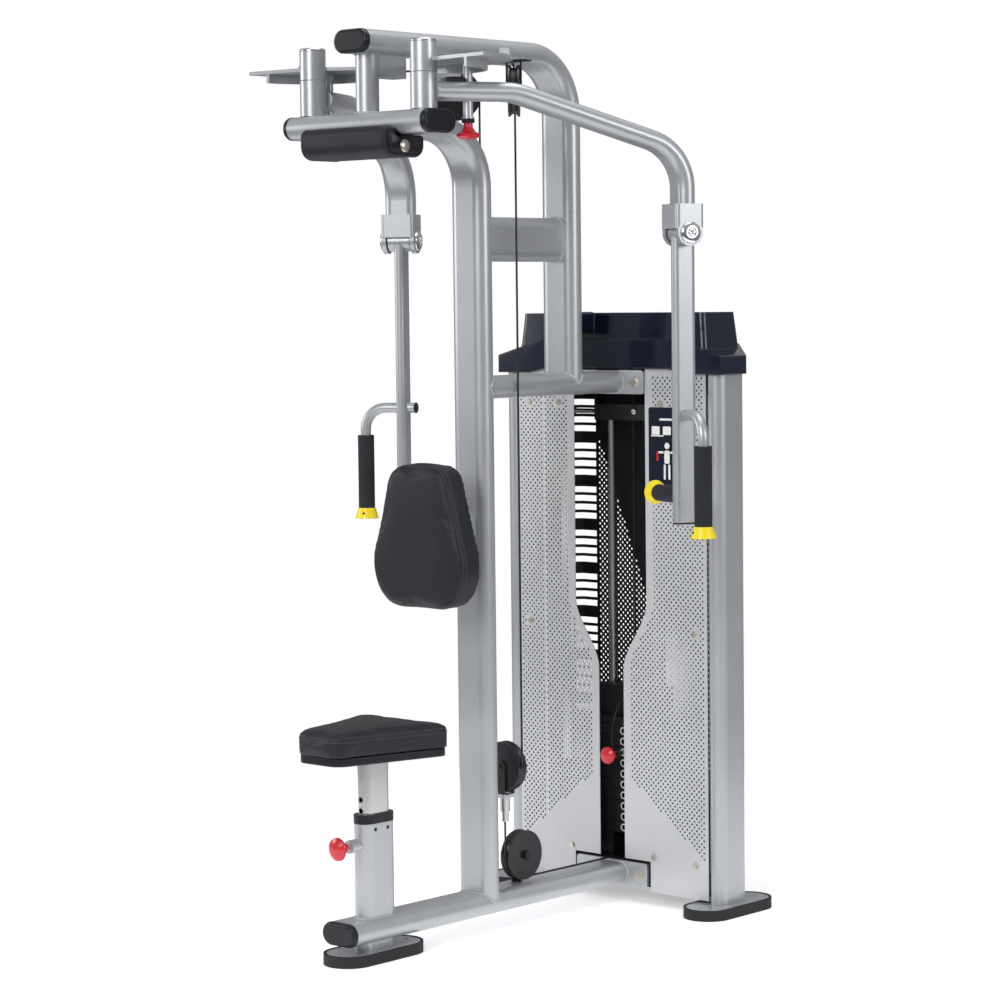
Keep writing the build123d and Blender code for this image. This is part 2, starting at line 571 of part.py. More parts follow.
def make_pulleys():
    """Seven pulleys, their forks and their axles."""
    centre, axis = top_pulley_place()
    top = wheel_at(centre, axis)
    save("right_top_pulley", top)
    save("left_top_pulley", mirrored(top))
    gap = PULLEY_W / 2 + 1 + 2
    plate_z = TOP_Z - OVAL_T / 2
    fork = cheek(centre, axis, plate_z - 4, gap) + cheek(centre, axis, plate_z - 4, -gap)
    fork += Plane(origin=centre, z_dir=axis) * Cylinder(6, 2 * gap + 12)
    hanger = box(-130, 130, centre[1] - 16, centre[1] + 16, plate_z - 4, plate_z)
    top_fork = hanger + fork + mirrored(fork)

    save("base_pulley", wheel_at((0, BASE_PULLEY_Y, BASE_PULLEY_Z), (1, 0, 0)))
    strap = box(-18, -14, BASE_PULLEY_Y - 16, BASE_PULLEY_Y + 16, BASE_Z, BASE_PULLEY_Z)
    strap += Pos(-16, BASE_PULLEY_Y, BASE_PULLEY_Z) * Rot(0, 90, 0) * Cylinder(16, 4)
    strap += rod((-22, BASE_PULLEY_Y, BASE_PULLEY_Z), (17, BASE_PULLEY_Y, BASE_PULLEY_Z), 6)
    strap += Pos(14, BASE_PULLEY_Y, BASE_PULLEY_Z) * Rot(0, 90, 0) * hexagon(11, 8)
    base_fork = strap - frame_bars()["base"][1]

    low_centre = (0, REAR_CABLE_Y - LOW_PULLEY_R, LOW_CABLE_Z + LOW_PULLEY_R)
    save("tower_lower_pulley", wheel_at(low_centre, (1, 0, 0), LOW_PULLEY_R, LOW_PULLEY_R + 4, 18))
    low_fork = box(-16, -12, low_centre[1] - 12, low_centre[1] + 12, 88, low_centre[2] + 12)
    low_fork += box(12, 16, low_centre[1] - 12, low_centre[1] + 12, 88, low_centre[2] + 12)
    low_fork += rod((-16, *low_centre[1:]), (16, *low_centre[1:]), 6)

    high_r = (REAR_CABLE_Y - STACK_Y) / 2
    high_centre = (0, STACK_Y + high_r, HIGH_PULLEY_Z)
    save("tower_upper_pulley", wheel_at(high_centre, (1, 0, 0), high_r, high_r + 5, 18))
    high_fork = box(-16, -12, high_centre[1] - 14, high_centre[1] + 14, ROOF_Z, high_centre[2] + 14)
    high_fork += box(12, 16, high_centre[1] - 14, high_centre[1] + 14, ROOF_Z, high_centre[2] + 14)
    high_fork += rod((-16, *high_centre[1:]), (16, *high_centre[1:]), 6)
    save("pulley_brackets", top_fork, base_fork, low_fork, high_fork)

    float_centre = (0, FLOAT_Y, FLOAT_Z)
    save("floating_pulley", wheel_at(float_centre, (0, 1, 0)))
    yoke = cheek(float_centre, (0, 1, 0), 306, gap) + cheek(float_centre, (0, 1, 0), 306, -gap)
    yoke += Pos(*float_centre) * Rot(90, 0, 0) * Cylinder(6, 2 * gap + 12)
    yoke += box(-15, 15, FLOAT_Y - gap - 2, FLOAT_Y + gap + 2, 300, 308)
    yoke += ring(12, 3, 267, 300, 0, FLOAT_Y) + ring(8.5, 3, 243, 267, 0, FLOAT_Y)
    save("floating_yoke", yoke)


# ---------------------------------------------------------------- cables


def cable(points, radii):
    """A round cable along straight runs joined by pulley-sized arcs."""
    path = FilletPolyline(*points, radius=radii)
    start, second = Vector(*points[0]), Vector(*points[1])
    return sweep(Plane(origin=start, z_dir=second - start) * Circle(CABLE_R), path=path)


def make_cables():
    """The arm cable and the lifting cable, split where they stretch or shorten as the weights rise."""
    angle = cable_tangent()
    leave = (PIVOT_X + CAM_CABLE_R * cos(angle), PIVOT_Y + CAM_CABLE_R * sin(angle), CAM_CABLE_Z)
    over = cable([leave, (GROOVE_R, FLOAT_Y, CAM_CABLE_Z), (GROOVE_R, FLOAT_Y, TOP_PULLEY_Z)],
                 GROOVE_R - 0.1)
    save("arm_cable_runs", over, mirrored(over))
    drop = rod((GROOVE_R, FLOAT_Y, TOP_PULLEY_Z), (GROOVE_R, FLOAT_Y, FLOAT_Z), CABLE_R)
    save("floating_cable_runs", drop, mirrored(drop))
    rise = rod((0, FLOAT_Y, BASE_PULLEY_Z), (0, FLOAT_Y, BRASS_LOW), CABLE_R)
    save("block_cable", rise)
    route = [(0, FLOAT_Y, BASE_PULLEY_Z), (0, FLOAT_Y, LOW_CABLE_Z), (0, REAR_CABLE_Y, LOW_CABLE_Z),
             (0, REAR_CABLE_Y, HIGH_PULLEY_Z)]
    high_r = (REAR_CABLE_Y - STACK_Y) / 2
    lower = cable(route, [GROOVE_R - 0.1, LOW_PULLEY_R])
    plane = Plane(origin=(0, STACK_Y + high_r, HIGH_PULLEY_Z), x_dir=(0, 1, 0), z_dir=(1, 0, 0))
    arc = plane * CenterArc((0, 0), high_r, 0, 180)
    arch = sweep(Plane(origin=arc @ 0, z_dir=arc % 0) * Circle(CABLE_R), path=arc)
    save("tower_cable", lower + arch)
    save("stack_cable", rod((0, STACK_Y, 513), (0, STACK_Y, HIGH_PULLEY_Z), CABLE_R))


# ---------------------------------------------------------------- tower


def shroud_half():
    """The right front panel: narrow slot below, wide slot above, joined by an S-shaped edge."""
    edge = [
        Line((SLOT_NARROW, SHROUD_LOW + 70), (SLOT_NARROW, 560)),
        Spline((SLOT_NARROW, 560), (SLOT_NARROW + 22, 612), (SLOT_WIDE - 20, 672), (SLOT_WIDE, 730),
               tangents=((0, 1), (0, 1))),
        Line((SLOT_WIDE, 730), (SLOT_WIDE, SHROUD_HIGH)),
        Polyline((SLOT_WIDE, SHROUD_HIGH), (SHROUD_X, SHROUD_HIGH), (SHROUD_X, SHROUD_LOW),
                 (FLANGE_W / 2 + 5, SHROUD_LOW), (FLANGE_W / 2 + 5, SHROUD_LOW + 70),
                 (SLOT_NARROW, SHROUD_LOW + 70)),
    ]
    plane = Plane(origin=(0, SHROUD_Y, 0), x_dir=(1, 0, 0), z_dir=(0, -1, 0))
    return extrude(plane * make_face(edge), amount=-SHROUD_T)


def make_shrouds():
    """Front panels, rear panel and the screws and bolts that hold the tower together."""
    right = shroud_half()
    save("right_shroud", right)
    save("left_shroud", mirrored(right))
    bend = [(TOWER_X - 12, at(1041)), (REAR_SHROUD_X, REAR_SHROUD_Y)]
    outer = bend + [(-x, y) for x, y in reversed(bend)]
    inner = [(x - 2 if x > 0 else x + 2, y - 2) for x, y in reversed(outer)]
    rear = extrude(Pos(0, 0, SHROUD_LOW) * make_face(Polyline(*outer, *inner, close=True)),
                   amount=COVER_LOW - 1 - SHROUD_LOW)
    save("rear_shroud", rear)

    screw = Rot(90, 0, 0) * (Cylinder(8, 2, align=(Align.CENTER, Align.CENTER, Align.MIN))
                             + Pos(0, 0, 2) * Cylinder(6, 3, align=(Align.CENTER, Align.CENTER, Align.MIN)))
    spots = [(160, 1205), (130, 115), (257, 662), (257, 110), (257, 1205)]
    screws = [Pos(side * x, SHROUD_Y, z) * screw for x, z in spots for side in (-1, 1)]
    bolt = Rot(90, 0, 0) * (Cylinder(12, 2, align=(Align.CENTER, Align.CENTER, Align.MIN))
                            + Pos(0, 0, 2) * hexagon(10.5, 7))
    bolts = [Pos(side * FLANGE_BOLT_X, FLANGE_Y, z) * bolt for z in (BASE_Z, LINK_Z) for side in (-1, 1)]
    save("fasteners", *screws, *bolts)


def make_tower():
    """Uprights, cross-members, the rod bracket and the blocks under the stack."""
    tube, bar = straight_tube((TOWER_X, TOWER_Y, FOOT_H - 1), (0, 0, 1), (0, 1, 0), TOWER_TOP - FOOT_H)
    save("tower_uprights", tube, mirrored(tube))
    keep_out = bar + mirrored(bar)
    inside = TOWER_X - OVAL_T / 2
    back = FLANGE_Y + FLANGE_T
    low = box(-TOWER_X, TOWER_X, back, back + 34, 40, 97) - keep_out
    high = box(-TOWER_X, TOWER_X, back, back + 34, LINK_Z - 28, LINK_Z + 28) - keep_out
    beam = box(-inside, inside, STACK_Y - 40, at(1039), 62, 88)
    beam += box(-BEAM_TAIL, BEAM_TAIL, at(1038), STACK_Y + 52, 62, 88)
    roof = box(-inside, inside, STACK_Y - 30, at(1039), 1252, ROOF_Z)
    roof += box(-BEAM_TAIL, BEAM_TAIL, at(1038), STACK_Y + 60, 1252, ROOF_Z)
    for y in (STACK_Y, REAR_CABLE_Y):
        roof -= Pos(0, y, 1275) * Cylinder(9, 60)
    guide = box(-110, 110, STACK_Y - 18, STACK_Y + 18, 1160, 1199)
    guide += box(-110, -104, STACK_Y - 18, STACK_Y + 18, 1199, 1252)
    guide += box(104, 110, STACK_Y - 18, STACK_Y + 18, 1199, 1252)
    guide -= Pos(0, STACK_Y, 1180) * Cylinder(9, 60)
    blocks = []
    for side in (-1, 1):
        block = box(side * ROD_X - 32, side * ROD_X + 32, STACK_Y - 46, STACK_Y + 46, 88, STACK_LOW - 1)
        rod_hole = Pos(side * ROD_X, STACK_Y, 1000) * Cylinder(ROD_R, 2200)
        guide -= rod_hole
        blocks.append(block - rod_hole)
    save("tower_beams", low, high, beam, roof, guide, *blocks)
    save("guide_rods", *[rod((side * ROD_X, STACK_Y, 88), (side * ROD_X, STACK_Y, 1199), ROD_R)
                         for side in (-1, 1)])


def weight_plate(index):
    """One plate of the stack, counted from the bottom, drilled for the rods, the selector and the pin."""
    z0 = STACK_LOW + PLATE_PITCH * index
    plate = box(-PLATE_X, PLATE_X, STACK_Y - PLATE_Y, STACK_Y + PLATE_Y, z0, z0 + PLATE_H)
    plate = fillet(plate.edges().filter_by(Axis.Z), 10)
    for x in (-ROD_X, ROD_X):
        plate -= Pos(x, STACK_Y, z0) * Cylinder(ROD_R + 1, 80)
    plate -= Pos(0, STACK_Y, z0) * Cylinder(SELECTOR_R + 1, 80)
    mid = z0 + PLATE_H / 2
    return plate - rod((0, STACK_Y - PLATE_Y - 1, mid), (0, STACK_Y, mid), 5.8)


def make_stack():
    """Resting plates, the plates lifted with the head, the head with its drilled rod, and the pin."""
    plates = [weight_plate(index) for index in range(PLATES)]
    save("resting_plates", *plates[:PLATES - LIFTED])
    save("lifted_plates", *plates[PLATES - LIFTED:])
    top = STACK_LOW + PLATE_PITCH * PLATES
    head = box(-PLATE_X, PLATE_X, STACK_Y - PLATE_Y, STACK_Y + PLATE_Y, top, top + 20)
    head = fillet(head.edges().filter_by(Axis.Z), 10)
    block = box(-98, 98, STACK_Y - 32, STACK_Y + 32, top + 20, 513)
    head += fillet(block.edges().filter_by(Axis.Z), 12)
    for x in (-ROD_X, ROD_X):
        head -= Pos(x, STACK_Y, 460) * Cylinder(ROD_R + 1, 200)
    head += rod((0, STACK_Y, STACK_LOW + 6), (0, STACK_Y, top + 1), SELECTOR_R)
    for index in range(PLATES):
        z = STACK_LOW + PLATE_PITCH * index + PLATE_H / 2
        head -= rod((0, STACK_Y - 20, z), (0, STACK_Y + 20, z), 5.8)
    save("head_plate", head)

    z = STACK_LOW + PLATE_PITCH * (PLATES - LIFTED) + PLATE_H / 2
    front = STACK_Y - PLATE_Y
    shaft = rod((0, STACK_Y + 8, z), (0, front - 40, z), 5.2)
    knob = Pos(0, front - 30, z) * Rot(90, 0, 0) * mushroom(21, 9, 22, 16)
    save("selector_pin", shaft + knob)


def make_increment_pin():
    """The small plunger beside the rod bracket that hangs the extra weight."""
    shaft = rod((-112, STACK_Y, 1180), (-190, STACK_Y, 1180), 6)
    grip = rod((-190, STACK_Y, 1180), (-236, STACK_Y, 1180), 10)
    for step in range(4):
        ring_x = -196 - 11 * step
        grip += rod((ring_x, STACK_Y, 1180), (ring_x - 4, STACK_Y, 1180), 14)
    save("increment_pin", shaft + grip)


def visor(shrink, low):
    """The drooping lower moulding as a solid, `shrink` smaller all round, down to height `low`."""
    outline = [(352, low), (352, 1318), (205, 1358)]
    right = [(x - shrink, z if z == low else z - shrink) for x, z in outline]
    front = Plane(origin=(0, at(926) + shrink, 0), x_dir=(1, 0, 0), z_dir=(0, -1, 0))
    face = make_face(Polyline(*right, *[(-x, z) for x, z in reversed(right)], close=True))
    bar = extrude(front * face, amount=-(COVER_DEPTH - 2 * shrink))
    if not shrink:
        bar = fillet(bar.edges().filter_by(Axis.Y).sort_by(Axis.Z)[2:], 12)
    wide, narrow = VISOR_HALF - shrink, VISOR_HALF - VISOR_CHAMFER - 1.414 * shrink
    knee_y = at(926) + COVER_DEPTH - VISOR_CHAMFER - 0.414 * shrink
    plan = [(wide, at(926)), (wide, knee_y), (narrow, at(926) + COVER_DEPTH)]
    mask = make_face(Polyline(*plan, *[(-x, y) for x, y in reversed(plan)], close=True))
    return bar & extrude(Pos(0, 0, low) * mask, amount=200)


def cover_box(shrink, low):
    """The tapered upper moulding as a solid."""
    base = Pos(0, at(1009), low) * RectangleRounded(584 - 2 * shrink, 138 - 2 * shrink, 14)
    crown = Pos(0, at(1009), COVER_TOP - shrink) * RectangleRounded(564 - 2 * shrink, 126 - 2 * shrink, 14)
    return loft([base, crown])


def make_cover():
    """The moulded cover: a drooping visor over the uprights and a box over the upper pulley."""
    nose = fillet(box(-108, -50, at(885), at(950), 1374, 1424).edges(), 7)
    shell = visor(0, COVER_LOW) + cover_box(0, 1330) + nose
    shell -= visor(COVER_WALL, COVER_LOW - 5)
    shell -= cover_box(COVER_WALL, 1320)
    arch = [(250, COVER_LOW - 5), (250, COVER_LOW), (190, ARCH_Z)]
    front = Plane(origin=(0, at(900), 0), x_dir=(1, 0, 0), z_dir=(0, -1, 0))
    face = make_face(Polyline(*arch, *[(-x, z) for x, z in reversed(arch)], close=True))
    recess = extrude(front * face, amount=-36)
    save("top_cover", shell - recess)


LANYARD = [
    (16, 998, 496), (16, 986, 497), (13, 972, 491), (7, 960, 474), (1, 951, 449), (-3, 945, 421),
    (-4, 942, 393), (-2, 941, 373), (0, 941, 362)]


def make_lanyard():
    """The thin tether that keeps the selector pin with the stack."""
    points = [(x, at(depth), z) for x, depth, z in LANYARD]
    path_radii = []
    for before, here, after in zip(points, points[1:], points[2:]):
        first, second = Vector(*here) - Vector(*before), Vector(*after) - Vector(*here)
        half_turn = radians(first.get_angle(second)) / 2
        path_radii.append(0.45 * min(first.length, second.length) / (sin(half_turn) / cos(half_turn)))
    print("lanyard radii", [round(r) for r in path_radii])
    path = FilletPolyline(*points, radius=path_radii)
    plane = Plane(origin=points[0], z_dir=Vector(*points[1]) - Vector(*points[0]))
    tether = sweep(plane * Circle(1.8), path=path)
    print("lanyard length", round(path.length, 1), "volume ratio",
          round(tether.volume / (pi * 1.8 ** 2 * path.length), 4))
    save("lanyard", tether)


os.makedirs("parts", exist_ok=True)
make_frame()
make_caps()
make_feet()
make_seat()
make_pads()
make_arms()
make_pulleys()
make_cables()
make_shrouds()
make_tower()
make_stack()
make_increment_pin()
make_cover()
make_lanyard()
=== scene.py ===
"""Looks of a pec deck machine: finishes, stitched pads, perforated panels, cables and small parts.

Everything is in metres in the frame's own axes: +Z up, -Y towards the seat, +X towards the right-hand arm.
"""

import json
import math

import bmesh
import bpy
import numpy as np
from mathutils import Matrix, Vector


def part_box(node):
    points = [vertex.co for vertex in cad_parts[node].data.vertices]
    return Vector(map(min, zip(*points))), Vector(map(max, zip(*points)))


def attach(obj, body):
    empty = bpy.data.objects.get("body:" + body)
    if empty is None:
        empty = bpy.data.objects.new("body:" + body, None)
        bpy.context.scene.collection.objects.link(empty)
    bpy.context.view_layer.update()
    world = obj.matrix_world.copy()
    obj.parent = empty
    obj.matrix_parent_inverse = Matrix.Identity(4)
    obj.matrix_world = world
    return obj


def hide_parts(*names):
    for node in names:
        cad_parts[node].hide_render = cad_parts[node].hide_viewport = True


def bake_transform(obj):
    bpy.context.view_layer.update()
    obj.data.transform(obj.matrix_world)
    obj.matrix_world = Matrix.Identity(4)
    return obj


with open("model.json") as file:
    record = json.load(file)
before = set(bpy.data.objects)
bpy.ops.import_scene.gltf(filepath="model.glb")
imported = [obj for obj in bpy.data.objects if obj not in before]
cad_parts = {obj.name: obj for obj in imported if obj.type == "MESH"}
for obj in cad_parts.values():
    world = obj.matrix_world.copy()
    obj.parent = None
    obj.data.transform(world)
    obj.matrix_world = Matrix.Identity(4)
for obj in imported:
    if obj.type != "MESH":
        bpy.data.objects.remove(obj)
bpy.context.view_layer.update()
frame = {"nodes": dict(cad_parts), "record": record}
NODES = frame["nodes"]

bl_info = {
    "name": "Pec deck machine looks",
    "version": (1, 0, 0),
    "blender": (4, 5, 0),
    "location": "View3D > Sidebar > Pec Deck",
    "description": "Builds the finishes, pads, panels, cables and small parts of a pec deck machine",
    "category": "Add Mesh",
}

# ---------------------------------------------------------------- places, from the frame

SIDES = (("right", 1), ("left", -1))
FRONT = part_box("end_caps")[0].y
HALF_OVAL = 0.0255         # half the thin side of a frame tube, and the radius of its round edges
OVAL_FLAT = 0.0255         # half of the flat part of the wide side
PIVOT = Vector((0.1705, -0.3995, 0))
ARM_ANGLE = math.radians(64)
ARM_REACH = 0.610
HINGE_Z = 1.600
PIN_REACH = 0.101
FLOAT_Z = 0.373
TOP_PULLEY_Z = 1.926
CABLE_R = 0.0025
CAM_R = 0.183
CAM_CABLE_Z = 1.981
GROOVE_R = 0.055
BASE_PULLEY_Z = 0.157
UPPER_PULLEY_Z = 1.316
BLOCK_LOW = 0.243          # where the lifting cable meets the floating block
HEAD_TOP = 0.513           # where the lifting cable meets the stack's head plate
STACK_LOW = 0.154
PLATE_PITCH = 0.0264
FLOOR_R = 2.3
PLATES = 10
LIFTED = 3


def at(depth):
    """y of a point that lies `depth` metres behind the base tube's front cap."""
    return FRONT + depth


FLOAT_Y = at(0.550)        # the floating block, between the uprights
STACK_Y = at(1.030)        # the weight stack and its guide rods
UPRIGHT_Y = at(0.461)      # main upright
REAR_Y = at(0.7717)        # rear upright
BAR_Y, BAR_Z = at(0.1305), 1.840     # crossbar
BASE_Z, LINK_Z, BRIDGE_Z, TOP_Z = 0.0681, 1.256, 1.594, 2.020     # middles of the level tubes
PANEL_Y = at(0.938)        # middle of the front panels' sheet
PANEL_LOW = 0.030          # lower edge of the front and rear panels
SHEET_T = 0.002
SLOTS_FROM, SLOTS_TO = 0.188, 0.258  # the slotted band, measured out from the rear panel's middle
REAR_KNEE = [0, 0.235, 0.330]        # along the rear panel from its middle: flat, then turned forward
REAR_KNEE_X = [0, 0.235, 0.300]
REAR_KNEE_Y = at(np.array([1.111, 1.111, 1.0425]))


def arm_point(along, across, height, side=1):
    """A point in an arm's own upright plane: along the arm from its pivot, and across it."""
    x = PIVOT.x + along * math.cos(ARM_ANGLE) - across * math.sin(ARM_ANGLE)
    y = PIVOT.y + along * math.sin(ARM_ANGLE) + across * math.cos(ARM_ANGLE)
    return Vector((side * x, y, height))


def arm_across(side=1):
    """Unit direction across an arm, along its hinge bolt."""
    return Vector((-side * math.sin(ARM_ANGLE), math.cos(ARM_ANGLE), 0))


# ---------------------------------------------------------------- mesh helpers


def grid_faces(rows, cols, close_rows=False, close_cols=False):
    """Four-sided faces of a grid of points numbered row by row; a closed side joins its last to its first."""
    last_row, last_col = rows - (not close_rows), cols - (not close_cols)
    r, c = np.meshgrid(np.arange(last_row), np.arange(last_col), indexing="ij")
    r2, c2 = (r + 1) % rows, (c + 1) % cols
    return np.stack([r * cols + c, r * cols + c2, r2 * cols + c2, r2 * cols + c], -1).reshape(-1, 4)


def join_parts(parts):
    """Several (points, faces) pairs as one, with the later faces renumbered."""
    points, faces, count = [], [], 0
    for part_points, part_faces in parts:
        points.append(part_points)
        faces += [[int(index) + count for index in face] for face in part_faces]
        count += len(part_points)
    return np.concatenate(points), faces


def tidy_mesh(mesh, distance=1e-5):
    """Merge doubled points, drop faces with no area, and turn every face outwards."""
    work = bmesh.new()
    work.from_mesh(mesh)
    bmesh.ops.remove_doubles(work, verts=work.verts, dist=distance)
    bmesh.ops.dissolve_degenerate(work, edges=work.edges, dist=distance)
    bmesh.ops.recalc_face_normals(work, faces=work.faces)
    work.to_mesh(mesh)
    work.free()


def add_piece(name, shape, body, finish, smooth=True, merge=1e-5):
    """A new piece made from (points, faces), riding on a body, or on none yet if body is None.

    finish names its material.
    """
    points, faces = shape
    mesh = bpy.data.meshes.new(name)
    mesh.from_pydata(np.asarray(points, float).tolist(), [], [list(face) for face in faces])
    tidy_mesh(mesh, merge)
    if smooth:
        mesh.shade_smooth()
    piece = bpy.data.objects.new(name, mesh)
    bpy.context.scene.collection.objects.link(piece)
    mesh.materials.append(FINISH[finish])
    if body:
        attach(piece, body)
    return piece


def unit(vector):
    """The same direction at length one, for a vector or for rows of vectors."""
    vector = np.asarray(vector, float)
    return vector / np.maximum(np.linalg.norm(vector, axis=-1, keepdims=True), 1e-12)


def turned(profile, centre, axis, segments=40):
    """A profile of (radius, height) pairs turned about an axis.

    Point = centre + radius * (cos(a) * side + sin(a) * other) + height * axis, for a from 0 to a full turn.
    """
    axis = unit(axis)
    side = unit(np.cross(axis, (0.3, 0.5, 0.81)))
    other = np.cross(axis, side)
    a = np.linspace(0, 2 * math.pi, segments, endpoint=False)[None, :, None]
    radius, height = np.asarray(profile, float).T[:, :, None, None]
    points = np.asarray(centre, float) + radius * (np.cos(a) * side + np.sin(a) * other) + height * axis
    return points.reshape(-1, 3), grid_faces(len(profile), segments, close_cols=True)


def carried(path, radius, sides=12, closed=False, up=(0.13, 0.21, 0.97)):
    """A round section carried along a path: point = path + radius * (cos(a) * side + sin(a) * other)."""
    path = np.asarray(path, float)
    if closed:
        tangent = np.roll(path, -1, 0) - np.roll(path, 1, 0)
    else:
        tangent = np.gradient(path, axis=0)
    tangent = unit(tangent)
    side = unit(np.cross(tangent, up))
    other = np.cross(tangent, side)
    a = np.linspace(0, 2 * math.pi, sides, endpoint=False)[None, :, None]
    radius = np.broadcast_to(np.asarray(radius, float), len(path))[:, None, None]
    points = path[:, None] + radius * (np.cos(a) * side[:, None] + np.sin(a) * other[:, None])
    faces = grid_faces(len(path), sides, close_rows=closed, close_cols=True).tolist()
    if not closed:
        faces += [list(range(sides)), list(range((len(path) - 1) * sides, len(path) * sides))]
    return points.reshape(-1, 3), faces


def spaced(points, count, closed=False):
    """The same line with its points evenly spaced along its length."""
    points = np.asarray(points, float)
    if closed:
        points = np.vstack([points, points[:1]])
    length = np.concatenate([[0], np.cumsum(np.linalg.norm(np.diff(points, axis=0), axis=1))])
    t = np.linspace(0, length[-1], count, endpoint=not closed)
    return np.stack([np.interp(t, length, points[:, k]) for k in range(points.shape[1])], -1)


def rounded_outline(corners, radii, steps=9):
    """A closed polygon whose corners are arcs.

    Each arc's centre lies on its corner's bisector at radius / sin(half angle); the arc touches both sides.
    """
    corners = np.asarray(corners, float)
    radii = np.broadcast_to(np.asarray(radii, float), len(corners))[:, None]
    back, ahead = unit(np.roll(corners, 1, 0) - corners), unit(np.roll(corners, -1, 0) - corners)
    half = np.arccos(np.clip((back * ahead).sum(1), -1, 1))[:, None] / 2
    centre = corners + unit(back + ahead) * radii / np.sin(half)
    reach = radii / np.tan(half)
    start, end = corners + back * reach - centre, corners + ahead * reach - centre
    first, last = np.arctan2(start[:, 1], start[:, 0]), np.arctan2(end[:, 1], end[:, 0])
    sweep = (last - first + math.pi) % (2 * math.pi) - math.pi
    angle = first[:, None] + sweep[:, None] * np.linspace(0, 1, steps)
    arcs = centre[:, None] + radii[:, None] * np.stack([np.cos(angle), np.sin(angle)], -1)
    return arcs.reshape(-1, 2)


def plate_shape(outline, thickness, place):
    """A flat plate with this outline; place turns (u, v, w) into a point, w running through the thickness."""
    outline = np.asarray(outline, float)
    count = len(outline)
    rows = np.concatenate([np.column_stack([outline, np.full(count, w)]) for w in (0, thickness)])
    faces = grid_faces(2, count, close_cols=True).tolist()
    faces += [list(range(count)), list(range(count, 2 * count))]
    return place(rows[:, 0], rows[:, 1], rows[:, 2]), faces


# ---------------------------------------------------------------- shader helpers


def put(tree, kind, inputs=None, **settings):
    """One shader node, with its settings, its values and its links."""
    node = tree.nodes.new(kind)
    for key, value in settings.items():
        setattr(node, key, value)
    for key, value in (inputs or {}).items():
        if isinstance(value, bpy.types.NodeSocket):
            tree.links.new(value, node.inputs[key])
        else:
            node.inputs[key].default_value = value
    return node


def maths(tree, operation, a, b=0.0, clamp=False):
    """One arithmetic node."""
    return put(tree, "ShaderNodeMath", {0: a, 1: b}, operation=operation, use_clamp=clamp).outputs[0]


def spread(tree, value, low, high, new_low, new_high):
    """A value mapped from one range to another and kept inside it."""
    return put(tree, "ShaderNodeMapRange", {
        "Value": value, "From Min": low, "From Max": high, "To Min": new_low, "To Max": new_high}).outputs[0]


def blended(tree, factor, first, second):
    """Two colours mixed."""
    node = put(tree, "ShaderNodeMix", data_type="RGBA")
    for index, value in ((0, factor), (6, first), (7, second)):
        if isinstance(value, bpy.types.NodeSocket):
            tree.links.new(value, node.inputs[index])
        else:
            node.inputs[index].default_value = value
    return node.outputs[2]


def make_group(name, inputs, outputs, build):
    """A shader node group with named inputs and outputs; build(tree, inputs) returns {output: socket}."""
    tree = bpy.data.node_groups.new(name, "ShaderNodeTree")
    for label, kind, default in inputs:
        socket = tree.interface.new_socket(label, in_out="INPUT", socket_type=kind)
        if default is not None:
            socket.default_value = default
    for label, kind in outputs:
        tree.interface.new_socket(label, in_out="OUTPUT", socket_type=kind)
    source, sink = put(tree, "NodeGroupInput"), put(tree, "NodeGroupOutput")
    for label, socket in build(tree, source.outputs).items():
        tree.links.new(socket, sink.inputs[label])
    return tree


FLOAT, COLOUR, VECTOR = "NodeSocketFloat", "NodeSocketColor", "NodeSocketVector"


def noise(tree, vector, scale, detail, **values):
    """One noise texture node."""
    return put(tree, "ShaderNodeTexNoise", {"Vector": vector, "Scale": scale, "Detail": detail, **values})


def speckle(tree, source):
    """Fine grain for paint, plastic and rubber: small noise for height, broad noise for colour and gloss."""
    fine = noise(tree, source["Vector"], source["Grain Scale"], 3.0, Roughness=0.6).outputs[0]
    broad = noise(tree, source["Vector"], source["Patch Scale"], 4.0).outputs[0]
    mixed = maths(tree, "ADD", maths(tree, "MULTIPLY", fine, 0.5), maths(tree, "MULTIPLY", broad, 0.5))
    shift = spread(tree, mixed, 0.3, 0.7, 0.0, 1.0)
    colour = blended(tree, shift, source["Dark Color"], source["Light Color"])
    rough = maths(tree, "ADD", source["Roughness"], maths(
        tree, "MULTIPLY", maths(tree, "SUBTRACT", mixed, 0.5), source["Roughness Spread"]))
    return {"Color": colour, "Roughness": rough, "Height": fine}


def leather(tree, source):
    """Upholstery grain: small rounded pebbles with creases between them."""
    warp = noise(tree, source["Vector"], 160.0, 2.0).outputs[1]
    bent = put(tree, "ShaderNodeVectorMath", {0: warp, 1: (0.5, 0.5, 0.5)}, operation="SUBTRACT").outputs[0]
    bent = put(tree, "ShaderNodeVectorMath", {0: bent, "Scale": 0.002}, operation="SCALE").outputs[0]
    moved = put(tree, "ShaderNodeVectorMath", {0: source["Vector"], 1: bent}, operation="ADD").outputs[0]
    cell = put(tree, "ShaderNodeTexVoronoi", {"Vector": moved, "Scale": source["Pebble Scale"]},
               feature="DISTANCE_TO_EDGE").outputs["Distance"]
    pebble = spread(tree, cell, 0.0, 0.25, 0.0, 1.0)
    broad = noise(tree, source["Vector"], 9.0, 3.0).outputs[0]
    share = maths(tree, "MULTIPLY", pebble, broad)
    colour = blended(tree, share, source["Crease Color"], source["Pebble Color"])
    rough = maths(tree, "SUBTRACT", source["Roughness"], maths(tree, "MULTIPLY", pebble, 0.08))
    return {"Color": colour, "Roughness": rough, "Height": pebble}


def brushed(tree, source):
    """Drawn or turned metal: noise stretched along Z."""
    stretched = put(tree, "ShaderNodeMapping", {"Vector": source["Vector"], "Scale": (900, 900, 30)})
    line = noise(tree, stretched.outputs[0], 1.0, 3.0).outputs[0]
    colour = blended(tree, line, source["Dark Color"], source["Light Color"])
    rough = maths(tree, "ADD", source["Roughness"], maths(tree, "MULTIPLY", line, 0.08))
    return {"Color": colour, "Roughness": rough, "Height": line}


